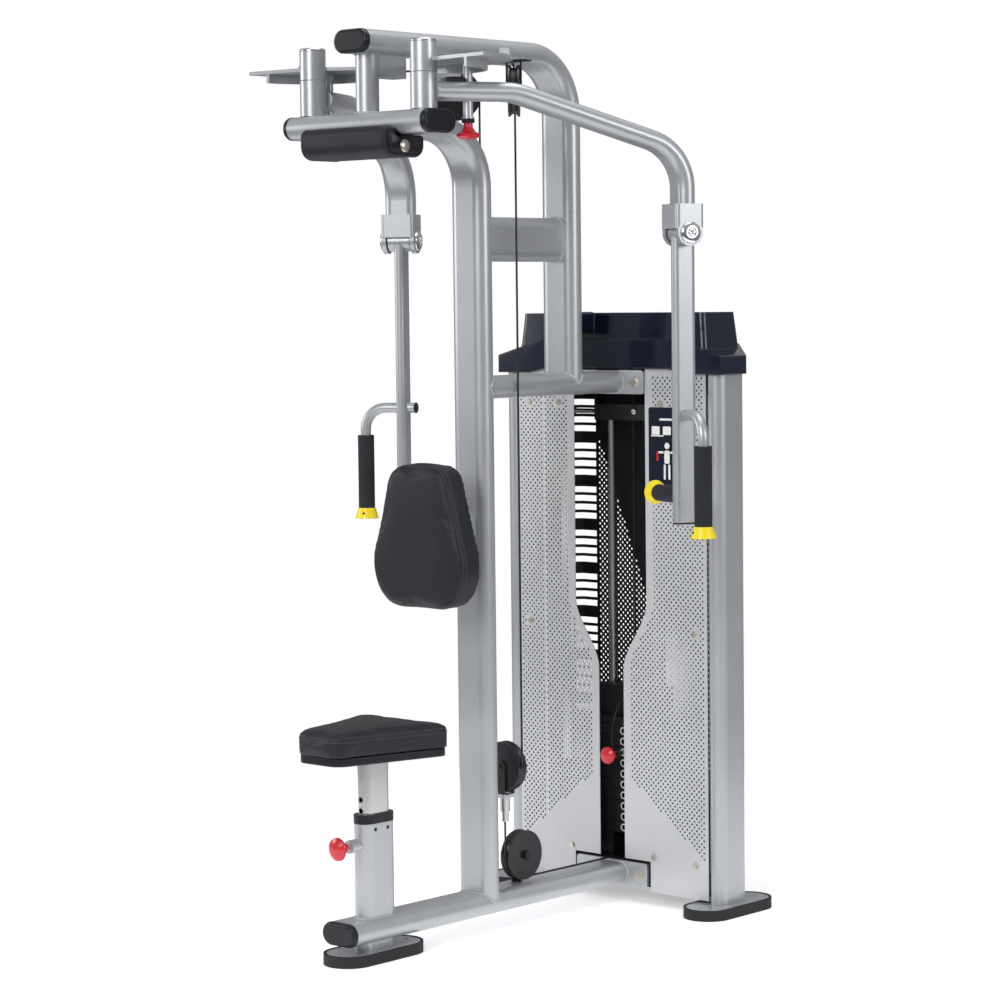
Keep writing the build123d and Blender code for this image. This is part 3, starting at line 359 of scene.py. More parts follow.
def worn_edges(tree, source):
    """Rounded, slightly rubbed edges: the colour is lighter where the softened normal leaves the true one."""
    soft = put(tree, "ShaderNodeBevel", {"Radius": source["Radius"]}, samples=4).outputs[0]
    true = put(tree, "ShaderNodeNewGeometry").outputs["Normal"]
    agree = put(tree, "ShaderNodeVectorMath", {0: soft, 1: true}, operation="DOT_PRODUCT").outputs["Value"]
    patch = noise(tree, source["Vector"], 60.0, 4.0).outputs[0]
    edge = spread(tree, agree, 0.995, 0.8, 0.0, 1.0)
    mask = maths(tree, "MULTIPLY", maths(tree, "MULTIPLY", edge, patch), source["Amount"], clamp=True)
    return {"Color": blended(tree, mask, source["Color"], source["Worn Color"]), "Normal": soft}


def split_at(tree, source):
    """0 below a height along an axis and 1 above it, for a node made of two finishes."""
    along = put(tree, "ShaderNodeVectorMath", {0: source["Vector"], 1: source["Axis"]},
                operation="DOT_PRODUCT")
    return {"Mask": maths(tree, "GREATER_THAN", along.outputs["Value"], source["Level"])}


def make_groups():
    """The shader groups that the finishes share."""
    white, black = (1, 1, 1, 1), (0, 0, 0, 1)
    grain_outputs = [("Color", COLOUR), ("Roughness", FLOAT), ("Height", FLOAT)]
    return {
        "speckle": make_group("Speckle", [
            ("Vector", VECTOR, None), ("Dark Color", COLOUR, black), ("Light Color", COLOUR, white),
            ("Grain Scale", FLOAT, 900.0), ("Patch Scale", FLOAT, 12.0), ("Roughness", FLOAT, 0.4),
            ("Roughness Spread", FLOAT, 0.2),
        ], grain_outputs, speckle),
        "leather": make_group("Leather Grain", [
            ("Vector", VECTOR, None), ("Crease Color", COLOUR, black), ("Pebble Color", COLOUR, white),
            ("Pebble Scale", FLOAT, 700.0), ("Roughness", FLOAT, 0.5),
        ], grain_outputs, leather),
        "brushed": make_group("Brushed Metal", [
            ("Vector", VECTOR, None), ("Dark Color", COLOUR, black), ("Light Color", COLOUR, white),
            ("Roughness", FLOAT, 0.3),
        ], grain_outputs, brushed),
        "edges": make_group("Worn Edges", [
            ("Vector", VECTOR, None), ("Color", COLOUR, black), ("Worn Color", COLOUR, white),
            ("Radius", FLOAT, 0.001), ("Amount", FLOAT, 0.5),
        ], [("Color", COLOUR), ("Normal", VECTOR)], worn_edges),
        "split": make_group("Split", [
            ("Vector", VECTOR, None), ("Axis", VECTOR, (0, 0, 1)), ("Level", FLOAT, 0.0),
        ], [("Mask", FLOAT)], split_at),
    }


def make_finish(name, grain, values, metallic=0.0, coat=0.0, bump=0.05, depth=0.0002, edge=0.0015, worn=None,
                second=None, specular=0.5):
    """A material: a grain group, soft worn edges, and perhaps a second colour past a level along an axis.

    second is (axis, level, dark colour, light colour, metallic, roughness) for the part past the level.
    """
    material = bpy.data.materials.new(name)
    material.use_nodes = True
    tree = material.node_tree
    shader = tree.nodes["Principled BSDF"]
    place = put(tree, "ShaderNodeTexCoord").outputs["Object"]
    skin = put(tree, "ShaderNodeGroup", node_tree=GROUPS[grain])
    tree.links.new(place, skin.inputs["Vector"])
    for key, value in values.items():
        skin.inputs[key].default_value = value
    colour, rough = skin.outputs["Color"], skin.outputs["Roughness"]
    shader.inputs["Metallic"].default_value = metallic
    if second:
        axis, level, dark, light, other_metallic, other_rough = second
        mask = put(tree, "ShaderNodeGroup", node_tree=GROUPS["split"])
        tree.links.new(place, mask.inputs["Vector"])
        mask.inputs["Axis"].default_value = axis
        mask.inputs["Level"].default_value = level
        kind = "brushed" if other_metallic > 0.5 else "speckle"
        other = put(tree, "ShaderNodeGroup", node_tree=GROUPS[kind])
        tree.links.new(place, other.inputs["Vector"])
        for key, value in (("Dark Color", dark), ("Light Color", light), ("Roughness", other_rough)):
            other.inputs[key].default_value = value
        share = mask.outputs["Mask"]
        colour = blended(tree, share, colour, other.outputs["Color"])
        rough = spread_between(tree, share, rough, other.outputs["Roughness"])
        tree.links.new(spread(tree, share, 0.0, 1.0, metallic, other_metallic), shader.inputs["Metallic"])
    normal = None
    if edge:
        wear = put(tree, "ShaderNodeGroup", node_tree=GROUPS["edges"])
        tree.links.new(place, wear.inputs["Vector"])
        tree.links.new(colour, wear.inputs["Color"])
        wear.inputs["Worn Color"].default_value = worn or values.get("Light Color", (0.5, 0.5, 0.5, 1))
        wear.inputs["Radius"].default_value = edge
        wear.inputs["Amount"].default_value = 0.6
        colour, normal = wear.outputs["Color"], wear.outputs["Normal"]
    bump_node = put(tree, "ShaderNodeBump", {
        "Height": skin.outputs["Height"], "Strength": bump, "Distance": depth})
    if normal:
        tree.links.new(normal, bump_node.inputs["Normal"])
    tree.links.new(colour, shader.inputs["Base Color"])
    tree.links.new(rough, shader.inputs["Roughness"])
    tree.links.new(bump_node.outputs[0], shader.inputs["Normal"])
    shader.inputs["Coat Weight"].default_value = coat
    shader.inputs["Specular IOR Level"].default_value = specular
    shader.inputs["Coat Roughness"].default_value = 0.12
    return material


def spread_between(tree, share, first, second):
    """Two values mixed by a share."""
    node = put(tree, "ShaderNodeMix", data_type="FLOAT")
    for index, value in ((0, share), (2, first), (3, second)):
        tree.links.new(value, node.inputs[index])
    return node.outputs[0]


def shades(colour, low=0.85, high=1.1):
    """A darker and a lighter version of a colour, for a grain to run between."""
    return tuple(c * low for c in colour) + (1,), tuple(min(1, c * high) for c in colour) + (1,)


def speckled(name, colour, rough, grain=900.0, patch=12.0, low=0.85, high=1.1, gloss_spread=0.2, **rest):
    """A finish with the speckle grain, from one colour."""
    dark, light = shades(colour, low, high)
    return make_finish(name, "speckle", {
        "Dark Color": dark, "Light Color": light, "Grain Scale": grain, "Patch Scale": patch,
        "Roughness": rough, "Roughness Spread": gloss_spread}, **rest)


def metal(name, colour, rough, **rest):
    """A bare metal finish with the brushed grain."""
    dark, light = shades(colour, 0.8, 1.1)
    return make_finish(name, "brushed", {"Dark Color": dark, "Light Color": light, "Roughness": rough},
                       metallic=1.0, bump=0.04, **rest)


GROUPS = {}
FINISH = {}

# ---------------------------------------------------------------- settings


def colour_setting(name, description, default):
    """A colour that can be changed in the sidebar."""
    return bpy.props.FloatVectorProperty(
        name=name, description=description, subtype="COLOR", size=3, min=0, max=1, default=default)


def angle_setting(name, description, degrees):
    """An angle that can be changed in the sidebar."""
    return bpy.props.FloatProperty(
        name=name, description=description, subtype="ANGLE", default=math.radians(degrees))


def length_setting(name, description, default, low, high):
    """A length in metres that can be changed in the sidebar."""
    return bpy.props.FloatProperty(
        name=name, description=description, default=default, min=low, max=high, precision=4, unit="LENGTH")


class PecDeckColours(bpy.types.PropertyGroup):
    """Colours of the machine's finishes."""

    silver: colour_setting("Silver paint", "Powder coat of the frame", (0.47, 0.485, 0.51))
    panel: colour_setting("Panel paint", "Paint of the perforated front panels", (0.60, 0.61, 0.63))
    vinyl: colour_setting("Vinyl", "Upholstery of the seat and pads", (0.019, 0.021, 0.029))
    black: colour_setting("Black plastic", "Caps, collars and grips", (0.010, 0.011, 0.014))
    cover: colour_setting("Cover", "Glossy moulding over the weight tower", (0.005, 0.008, 0.022))
    red: colour_setting("Knob red", "Pull knobs and selector pin", (0.62, 0.012, 0.028))
    yellow: colour_setting("Collar yellow", "Flared ends of the grips", (0.95, 0.74, 0.01))


class PecDeckSizes(bpy.types.PropertyGroup):
    """Sizes of the details that are added to the machine."""

    hole_cell: length_setting("Hole cell", "Half the pitch of the holes along a row", 0.0073, 0.004, 0.03)
    hole_radius: length_setting("Hole radius", "Radius of one perforation", 0.0027, 0.001, 0.01)
    crown: length_setting("Pad crown", "Rise of a pad's middle above its edge", 0.006, 0, 0.03)
    seam_radius: length_setting("Seam radius", "Half thickness of a sewn seam", 0.0010, 0.0003, 0.005)
    bead_radius: length_setting("Weld bead", "Radius of a weld bead", 0.0032, 0.001, 0.01)


class PecDeckStage(bpy.types.PropertyGroup):
    """Camera and light."""

    location: bpy.props.FloatVectorProperty(
        name="Camera place", description="Where the camera stands", subtype="TRANSLATION", unit="LENGTH",
        size=3, default=(4.5056, -4.9177, 1.4600))
    heading: angle_setting("Heading", "How far the camera stands round to +X", 42.41)
    pitch: angle_setting("Pitch", "Downward tilt of the camera", 3.99)
    roll: angle_setting("Roll", "Sideways tilt of the camera", 0.65)
    lens: bpy.props.FloatProperty(
        name="Lens", description="Focal length on a 36 mm sensor", default=104.3, min=10, max=400,
        unit="CAMERA")
    background: colour_setting("Background", "Pale colour of the floor and surroundings", (0.96, 0.96, 0.965))


# ---------------------------------------------------------------- stage


def make_camera(stage):
    """A camera turned by heading, pitch and roll, looking along its own -Z."""
    a, p, r = stage.heading, stage.pitch, stage.roll
    right = Vector((math.cos(a), math.sin(a), 0))
    level = Vector((-math.sin(a), math.cos(a), 0))
    forward = math.cos(p) * level - math.sin(p) * Vector((0, 0, 1))
    down = -(math.cos(p) * Vector((0, 0, 1)) + math.sin(p) * level)
    image_right = math.cos(r) * right + math.sin(r) * down
    image_down = -math.sin(r) * right + math.cos(r) * down
    data = bpy.data.cameras.new("camera")
    data.lens, data.sensor_width = stage.lens, 36.0
    data.clip_end = 60.0
    camera = bpy.data.objects.new("camera", data)
    turn = Matrix((image_right, -image_down, -forward)).transposed().to_4x4()
    camera.matrix_world = Matrix.Translation(stage.location) @ turn
    bpy.context.scene.collection.objects.link(camera)
    bpy.context.scene.camera = camera


def add_light(name, place, target, size, power, tint=(1, 1, 1)):
    """A square soft box at a place, turned to a target."""
    data = bpy.data.lights.new(name, "AREA")
    data.shape, data.size, data.energy, data.color = "SQUARE", size, power, tint
    light = bpy.data.objects.new(name, data)
    light.location = place
    light.rotation_mode = "QUATERNION"
    light.rotation_quaternion = (Vector(target) - Vector(place)).to_track_quat("-Z", "Y")
    bpy.context.scene.collection.objects.link(light)


class PECDECK_OT_stage(bpy.types.Operator):
    """Makes the camera, the pale floor, the soft light and the surroundings"""

    bl_idname = "pecdeck.stage"
    bl_label = "Camera, floor and light"

    def execute(self, context):
        stage = context.scene.pecdeck_stage
        make_camera(stage)
        floor_finish = bpy.data.materials.new("pale_floor")
        floor_finish.use_nodes = True
        skin = floor_finish.node_tree.nodes["Principled BSDF"]
        skin.inputs["Base Color"].default_value = (*stage.background, 1)
        skin.inputs["Roughness"].default_value = 0.6
        skin.inputs["Emission Color"].default_value = (1, 1, 1, 1)
        skin.inputs["Emission Strength"].default_value = 0.42
        a = np.linspace(0, 2 * math.pi, 96, endpoint=False)
        points = np.stack([FLOOR_R * np.cos(a), FLOOR_R * np.sin(a), np.full(96, -0.0005)], -1)
        mesh = bpy.data.meshes.new("floor")
        mesh.from_pydata(points.tolist(), [], [list(range(96))])
        mesh.materials.append(floor_finish)
        floor = bpy.data.objects.new("floor", mesh)
        context.scene.collection.objects.link(floor)
        world = bpy.data.worlds.new("surroundings")
        world.use_nodes = True
        tree = world.node_tree
        base = tree.nodes["Background"]
        seen = put(tree, "ShaderNodeBackground", {"Color": (1, 1, 1, 1), "Strength": 1.0})
        height = put(tree, "ShaderNodeSeparateXYZ", {0: put(tree, "ShaderNodeTexCoord").outputs["Generated"]})
        tone = blended(tree, spread(tree, height.outputs[2], -0.2, 0.9, 0.0, 1.0),
                       (0.42, 0.43, 0.45, 1), (1.0, 1.0, 1.0, 1))
        tree.links.new(tone, base.inputs["Color"])
        base.inputs["Strength"].default_value = 0.50
        camera_ray = put(tree, "ShaderNodeLightPath").outputs["Is Camera Ray"]
        mix = put(tree, "ShaderNodeMixShader", {0: camera_ray, 1: base.outputs[0], 2: seen.outputs[0]})
        tree.links.new(mix.outputs[0], tree.nodes["World Output"].inputs[0])
        context.scene.world = world
        context.scene.view_settings.view_transform = "Standard"
        middle = (0, 0, 1.0)
        add_light("front_soft_box", (1.0, -5.0, 3.2), middle, 2.2, 120)
        add_light("side_soft_box", (5.2, 0.6, 2.4), middle, 1.8, 62)
        add_light("left_soft_box", (-4.4, -2.6, 2.2), middle, 2.0, 60)
        add_light("top_soft_box", (0.4, 0.2, 4.6), middle, 2.4, 60)
        return {"FINISHED"}


# ---------------------------------------------------------------- the tether

TETHER = [
    (0.016, 0.998, 0.496), (0.016, 0.986, 0.497), (0.013, 0.972, 0.491), (0.007, 0.960, 0.474),
    (0.001, 0.951, 0.449), (-0.003, 0.945, 0.421), (-0.004, 0.942, 0.393), (-0.002, 0.941, 0.373),
    (0.000, 0.941, 0.362)]
TETHER_R = 0.0018


class PECDECK_OT_tether(bpy.types.Operator):
    """Makes the thin tether that keeps the selector pin with the stack"""

    bl_idname = "pecdeck.tether"
    bl_label = "Selector tether"

    def execute(self, context):
        route = [(x, at(depth), z) for x, depth, z in TETHER]
        curve = bpy.data.curves.new("tether_route", "CURVE")
        curve.dimensions = "3D"
        curve.resolution_u = 12
        spline = curve.splines.new("NURBS")
        spline.points.add(len(route) - 1)
        for point, place in zip(spline.points, route):
            point.co = (*place, 1)
        spline.order_u = 3
        spline.use_endpoint_u = True
        holder = bpy.data.objects.new("tether_route", curve)
        context.scene.collection.objects.link(holder)
        context.view_layer.update()
        line = bpy.data.meshes.new_from_object(holder.evaluated_get(context.evaluated_depsgraph_get()))
        path = np.array([v.co for v in line.vertices], float)
        bpy.data.objects.remove(holder)
        tether = add_piece("selector_tether", carried(path, TETHER_R, 14), None, "cable_sheath")
        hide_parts("lanyard")
        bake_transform(tether)
        return {"FINISHED"}


# ---------------------------------------------------------------- finishes


class PECDECK_OT_finishes(bpy.types.Operator):
    """Gives every part of the frame its paint, plastic or metal finish"""

    bl_idname = "pecdeck.finishes"
    bl_label = "Finishes"

    def execute(self, context):
        for subpart in frame["record"]["subparts"]:
            materials = NODES[subpart["node"]].data.materials
            materials.clear()
            materials.append(FINISH.get(subpart["node"], FINISH[subpart["material_slot"]]))
        return {"FINISHED"}


def make_finishes(colours):
    """Every finish, by the record's slot name or by the name of a node with two finishes."""
    GROUPS.update(make_groups())
    steel = ((0.42, 0.42, 0.42, 1), (0.66, 0.66, 0.66, 1))
    ink = ((0.008, 0.008, 0.009, 1), (0.018, 0.018, 0.02, 1))
    bright = (0.62, 0.62, 0.63)
    FINISH.update({
        "silver_paint": speckled("silver_paint", colours.silver, 0.36, grain=1400, patch=5, low=0.9,
                                 high=1.08, metallic=0.55, coat=0.25, bump=0.08, worn=(0.62, 0.63, 0.65, 1)),
        "shroud_silver": speckled("shroud_silver", colours.panel, 0.42, grain=1100, patch=4, low=0.9,
                                  high=1.06, metallic=0.35, coat=0.1, bump=0.08, edge=0.0),
        "black_plastic": speckled("black_plastic", colours.black, 0.32, grain=1000, low=0.7, high=1.5,
                                  specular=0.3, bump=0.12, worn=(0.06, 0.06, 0.065, 1)),
        "rubber": speckled("rubber", (0.018, 0.018, 0.020), 0.68, grain=600, low=0.7, high=1.5, bump=0.3,
                           specular=0.3, edge=0.002, worn=(0.05, 0.05, 0.05, 1)),
        "vinyl": make_finish("vinyl", "leather", {
            "Crease Color": tuple(c * 0.45 for c in colours.vinyl) + (1,),
            "Pebble Color": tuple(c * 1.35 for c in colours.vinyl) + (1,), "Pebble Scale": 620.0,
            "Roughness": 0.50}, bump=0.35, depth=0.00025, edge=0.0, specular=0.32),
        "seam_thread": speckled("seam_thread", (0.035, 0.036, 0.042), 0.6, grain=2500, bump=0.3, edge=0.0),
        "yellow_plastic": speckled("yellow_plastic", colours.yellow, 0.34, grain=700, low=0.94, high=1.04,
                                   bump=0.05, worn=(0.98, 0.85, 0.2, 1)),
        "grip_foam": speckled("grip_foam", (0.018, 0.019, 0.024), 0.74, grain=1600, low=0.6, high=1.7,
                              specular=0.3, bump=0.55, depth=0.0004, edge=0.0012,
                              worn=(0.04, 0.04, 0.045, 1)),
        "red_plastic": speckled("red_plastic", colours.red, 0.28, grain=800, low=0.88, high=1.08, coat=0.3,
                                bump=0.04, worn=(0.8, 0.06, 0.08, 1)),
        "bright_steel": metal("bright_steel", bright, 0.20),
        "chrome": metal("chrome", (0.80, 0.80, 0.81), 0.05, edge=0.0008),
        "zinc": metal("zinc", (0.66, 0.62, 0.54), 0.26, edge=0.0008),
        "pulley_nylon": speckled("pulley_nylon", (0.014, 0.015, 0.018), 0.30, grain=500, low=0.7, high=1.6,
                                 bump=0.1, worn=(0.05, 0.05, 0.055, 1)),
        "black_steel": speckled("black_steel", (0.014, 0.015, 0.018), 0.44, grain=1300, low=0.7, high=1.5,
                                specular=0.25, bump=0.14, worn=(0.06, 0.06, 0.065, 1)),
        "cable_sheath": speckled("cable_sheath", (0.010, 0.010, 0.011), 0.32, grain=1500, low=0.7, high=1.4,
                                 edge=0.0, bump=0.1),
        "cover_plastic": speckled("cover_plastic", colours.cover, 0.12, grain=400, patch=3, low=0.8, high=1.3,
                                  specular=0.35, coat=0.3, bump=0.03, edge=0.007,
                                  worn=(0.012, 0.016, 0.034, 1)),
        "white_mark": speckled("white_mark", (0.86, 0.86, 0.84), 0.4, edge=0.0),
        "seat_pin": speckled("seat_knob", colours.red, 0.28, coat=0.3, bump=0.04, second=(
            (0, 1, 0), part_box("seat_pin")[0].y + 0.036, *steel, 1.0, 0.2)),
        "selector_pin": speckled("selector_knob", colours.red, 0.28, coat=0.3, bump=0.04, second=(
            (0, 1, 0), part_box("selector_pin")[0].y + 0.030, *steel, 1.0, 0.2)),
        "increment_pin": metal("plunger", bright, 0.22, second=((-1, 0, 0), 0.1895, *ink, 0.0, 0.5)),
        "floating_yoke": metal("yoke", bright, 0.24, second=((0, 0, 1), 0.309, *ink, 0.0, 0.4)),
    })
    for side, _ in SIDES:
        FINISH[f"{side}_pull_pin"] = speckled(
            f"{side}_pull_knob", colours.red, 0.28, coat=0.3, bump=0.04,
            second=((0, 0, 1), 1.8385, *steel, 1.0, 0.2))


# ---------------------------------------------------------------- pads


def pad_blank(outline, height, crown, edge, rings=10):
    """A pad's closed form as (u, v, w) rows: flat below, upright sides, a rounded edge and a crowned top.

    A ring is the outline scaled by s about its middle. Below, s grows from 0 to 1 at w = 0. Round the edge,
    s = 1 - edge / size * (1 - cos f) and w = height - edge * (1 - sin f). Above, s falls from s0 to 0 and
    w = height + crown * (1 - (s / s0)^2).
    """
    middle = outline.mean(0)
    size = np.linalg.norm(outline - middle, axis=1).mean()
    turn = np.linspace(0, math.pi / 2, 7)
    below = np.linspace(0, 1, rings)
    side = np.linspace(0, height - edge, 6)[1:-1]
    top = np.linspace(1 - edge / size, 0, rings)[1:]
    scale = np.concatenate([below, np.ones(4), 1 - edge / size * (1 - np.cos(turn)), top])
    lift = np.concatenate([np.zeros(rings), side, height - edge * (1 - np.sin(turn)),
                           height + crown * (1 - (top / (1 - edge / size)) ** 2)])
    flat = middle + scale[:, None, None] * (outline - middle)
    rows = np.concatenate([flat, np.broadcast_to(lift[:, None, None], flat.shape[:2] + (1,))], -1)
    return rows.reshape(-1, 3), grid_faces(len(scale), len(outline), close_cols=True)


def inflate(piece, cap, voxel=0.005, pressure=4.0, keep_flat=None):
    """Swell a pad with a short cloth simulation, with every point kept within `cap` of where it began."""
    scene = bpy.context.scene
    bpy.context.view_layer.objects.active = piece
    remesh = piece.modifiers.new("even_mesh", "REMESH")
    remesh.mode, remesh.voxel_size = "VOXEL", voxel
    with bpy.context.temp_override(object=piece, active_object=piece, selected_objects=[piece]):
        bpy.ops.object.modifier_apply(modifier=remesh.name)
    start = np.empty(len(piece.data.vertices) * 3)
    piece.data.vertices.foreach_get("co", start)
    start = start.reshape(-1, 3)
    cloth = piece.modifiers.new("skin", "CLOTH")
    cloth.settings.use_pressure = True
    cloth.settings.uniform_pressure_force = pressure
    cloth.settings.effector_weights.gravity = 0
    cloth.settings.quality = 5
    cloth.settings.tension_stiffness = 40
    cloth.settings.compression_stiffness = 40
    cloth.point_cache.frame_start, cloth.point_cache.frame_end = 1, 20
    for step in range(1, 21):
        scene.frame_set(step)
    swollen = piece.evaluated_get(bpy.context.evaluated_depsgraph_get())
    end = np.empty(len(start) * 3)
    swollen.data.vertices.foreach_get("co", end)
    move = end.reshape(-1, 3) - start
    length = np.linalg.norm(move, axis=1, keepdims=True)
    move *= np.minimum(1, cap / np.maximum(length, 1e-9))
    piece.modifiers.remove(cloth)
    result = start + move
    if keep_flat:
        result = keep_flat(result)
    piece.data.vertices.foreach_set("co", result.ravel())
    piece.data.update()
    scene.frame_set(1)
    piece.data.shade_smooth()


def on_skin(piece, points):
    """Each point moved to the nearest place on a pad's skin."""
    return np.array([piece.closest_point_on_mesh(Vector(p))[1] for p in points], float)


def sew(name, pad, loop, body, radius):
    """A raised seam round a pad: a thin closed cord that lies on the skin."""
    loop = on_skin(pad, spaced(loop, 260, closed=True))
    return add_piece(name, carried(loop, radius, 8, closed=True), body, "seam_thread")


def ringed(outline, scale, height):
    """An outline scaled about its middle at one height, as (u, v, w) rows."""
    middle = outline.mean(0)
    return np.column_stack([middle + scale * (outline - middle), np.full(len(outline), height)])


class PECDECK_OT_pads(bpy.types.Operator):
    """Makes the upholstered seat, back pad and head pad with their seams and boards"""

    bl_idname = "pecdeck.pads"
    bl_label = "Pads"

    def execute(self, context):
        sizes = context.scene.pecdeck_sizes
        pad_z, board_z = 0.469, 0.452
        front, rear = at(-0.0614), at(0.235)
        plan = [(-0.066, front), (0.066, front), (0.144, rear), (-0.144, rear)]
        outline = rounded_outline(plan, [0.036, 0.036, 0.026, 0.026])
        points, faces = pad_blank(outline, 0.049, sizes.crown, 0.012)
        seat = add_piece("seat_pad", (points + (0, 0, pad_z), faces), None, "vinyl")

        def rest_seat(p):
            p[:, 2] = np.clip(p[:, 2], pad_z, 0.531)
            return p

        inflate(seat, 0.005, keep_flat=rest_seat)
        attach(seat, "seat")
        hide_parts("seat_cushion")
        for label, scale, height in (("upper", 0.985, 0.0475), ("lower", 1.0, 0.036)):
            sew(f"seat_seam_{label}", seat, ringed(outline, scale, height) + (0, 0, pad_z), "seat",
                sizes.seam_radius)
        board_plan = outline.mean(0) + 0.955 * (outline - outline.mean(0))
        points, faces = pad_blank(board_plan, 0.0168, 0.0, 0.002)
        add_piece("seat_board", (points + (0, 0, board_z), faces), "seat", "black_plastic")

        back_y = at(0.265)
        back = [(-0.112, 0.763), (0.112, 0.763), (0.152, 0.855),
                (0.084, 1.092), (-0.084, 1.092), (-0.152, 0.855)]
        outline = rounded_outline(back, [0.080, 0.080, 0.120, 0.055, 0.055, 0.120], 8)
        points, faces = pad_blank(outline, 0.060, sizes.crown, 0.014)

        def stand(rows):
            return np.column_stack([rows[:, 0], back_y + 0.061 - rows[:, 2], rows[:, 1]])

        def rest_back(p):
            p[:, 1] = np.clip(p[:, 1], back_y - 0.008, back_y + 0.0615)
            return p

        pad = add_piece("back_cushion", (stand(points), faces), None, "vinyl")
        inflate(pad, 0.005, keep_flat=rest_back)
        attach(pad, "frame")
        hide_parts("back_pad")
        for label, scale, height in (("front", 0.985, 0.0585), ("rear", 1.0, 0.046)):
            sew(f"back_seam_{label}", pad, stand(ringed(outline, scale, height)), "frame", sizes.seam_radius)

        front, rear, step_y = at(0.046), at(0.176), -0.4545
        section = [(front, 1.766), (rear, 1.766), (rear, 1.8125),
                   (step_y, 1.8125), (step_y, 1.832), (front, 1.832)]
        outline = rounded_outline(section, [0.030, 0.026, 0.006, 0.002, 0.007, 0.016], 8)
        half, edge = 0.130, 0.010
        turn = np.linspace(0, math.pi / 2, 6)
        middle_part = np.linspace(-half + edge, half - edge, 30)[1:-1]
        inset, rounding = edge * (1 - np.cos(turn)), 1 - 0.16 * (1 - np.sin(turn))
        across = np.concatenate([[-half], -half + inset, middle_part, half - inset[::-1], [half]])
        shrink = np.concatenate([[0], rounding, np.ones(28), rounding[::-1], [0]])
        middle = np.array((-0.425, 1.788))
        flat = middle + shrink[:, None, None] * (outline - middle)
        rows = np.concatenate([np.broadcast_to(across[:, None, None], flat.shape[:2] + (1,)), flat], -1)
        faces = grid_faces(len(across), len(outline), close_cols=True)
        head = add_piece("head_cushion", (rows.reshape(-1, 3), faces), "frame", "vinyl")
        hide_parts("head_pad")
        for label, x in (("right", half - edge), ("left", -half + edge)):
            loop = np.column_stack([np.full(len(outline), x), outline])
            sew(f"head_seam_{label}", head, loop, "frame", sizes.seam_radius)
        screw = [(0, 0), (0.0145, 0), (0.0145, 0.0012), (0.0105, 0.0034), (0, 0.0040)]
        board = outline.mean(0) + 0.80 * (outline - outline.mean(0))
        for side, sign in SIDES:
            middle = board.mean(0)
            loops = [np.column_stack([np.full(len(board), sign * (half + w)), middle + g * (board - middle)])
                     for w, g in ((-0.001, 0), (-0.001, 1), (0.0035, 1), (0.0045, 0.985), (0.0045, 0))]
            faces = grid_faces(len(loops), len(board), close_cols=True)
            add_piece(f"{side}_head_board", (np.concatenate(loops), faces), "frame", "black_plastic")
            place = (sign * (half + 0.0043), at(0.108), 1.789)
            add_piece(f"{side}_head_screw", turned(screw, place, (sign, 0, 0), 28), "frame", "zinc")
        return {"FINISHED"}


# ---------------------------------------------------------------- perforated panels


def pierced_sheet(u, z, gone, holed, radius, place):
    """One layer of sheet with round holes, from a grid of cell corners.

    A plain cell is an eight-sided face through its corners and the middles of its sides. A holed cell is
    eight faces between those points and a ring: ring = cell middle + radius * (cos(a), sin(a)) every 45 degrees.
    """
    z = np.broadcast_to(z[:, None], u.shape)
    corner = np.stack([u, z], -1)
    c00, c10, c11, c01 = corner[:-1, :-1], corner[:-1, 1:], corner[1:, 1:], corner[1:, :-1]
    rim = np.stack([c00, (c00 + c10) / 2, c10, (c10 + c11) / 2,
                    c11, (c11 + c01) / 2, c01, (c01 + c00) / 2], 2)
    plain = rim[~gone & ~holed].reshape(-1, 2)
    outer = rim[holed & ~gone]
    a = np.radians(np.arange(8) * 45 - 135)
    inner = outer.mean(1)[:, None] + radius * np.stack([np.cos(a), np.sin(a)], -1)
    both = np.concatenate([outer, inner], 1).reshape(-1, 2)
    k = np.arange(8)
    quad = np.stack([k, (k + 1) % 8, 8 + (k + 1) % 8, 8 + k], -1)
    ring_faces = (np.arange(len(outer))[:, None, None] * 16 + quad).reshape(-1, 4)
    plain_faces = np.arange(len(plain)).reshape(-1, 8) + len(both)
    flat = np.concatenate([both, plain])
    return place(flat[:, 0], flat[:, 1]), ring_faces.tolist() + plain_faces.tolist()


def slot_edge(z):
    """Half width of the opening between the front panels: narrow low down, an S-shaped flare, then wide."""
    t = np.clip((z - 0.560) / 0.170, 0, 1)
    return 0.039 + 0.073 * t * t * (3 - 2 * t)


def thicken(piece, thickness):
    """Give a sheet its thickness, half to each side."""
    wall = piece.modifiers.new("sheet_thickness", "SOLIDIFY")
    wall.thickness, wall.offset = thickness, 0.0


def slope_line(x):
    """Two heights at a distance x from the middle: the front holes' lower limit, the rear holes' upper limit."""
    front = 0.297 + (x - 0.066) * (0.123 - 0.297) / (0.288 - 0.066)
    rear = np.where(x < 0.2, 1.106 + 2.58 * (x - 0.177), 1.10)
    return front, rear


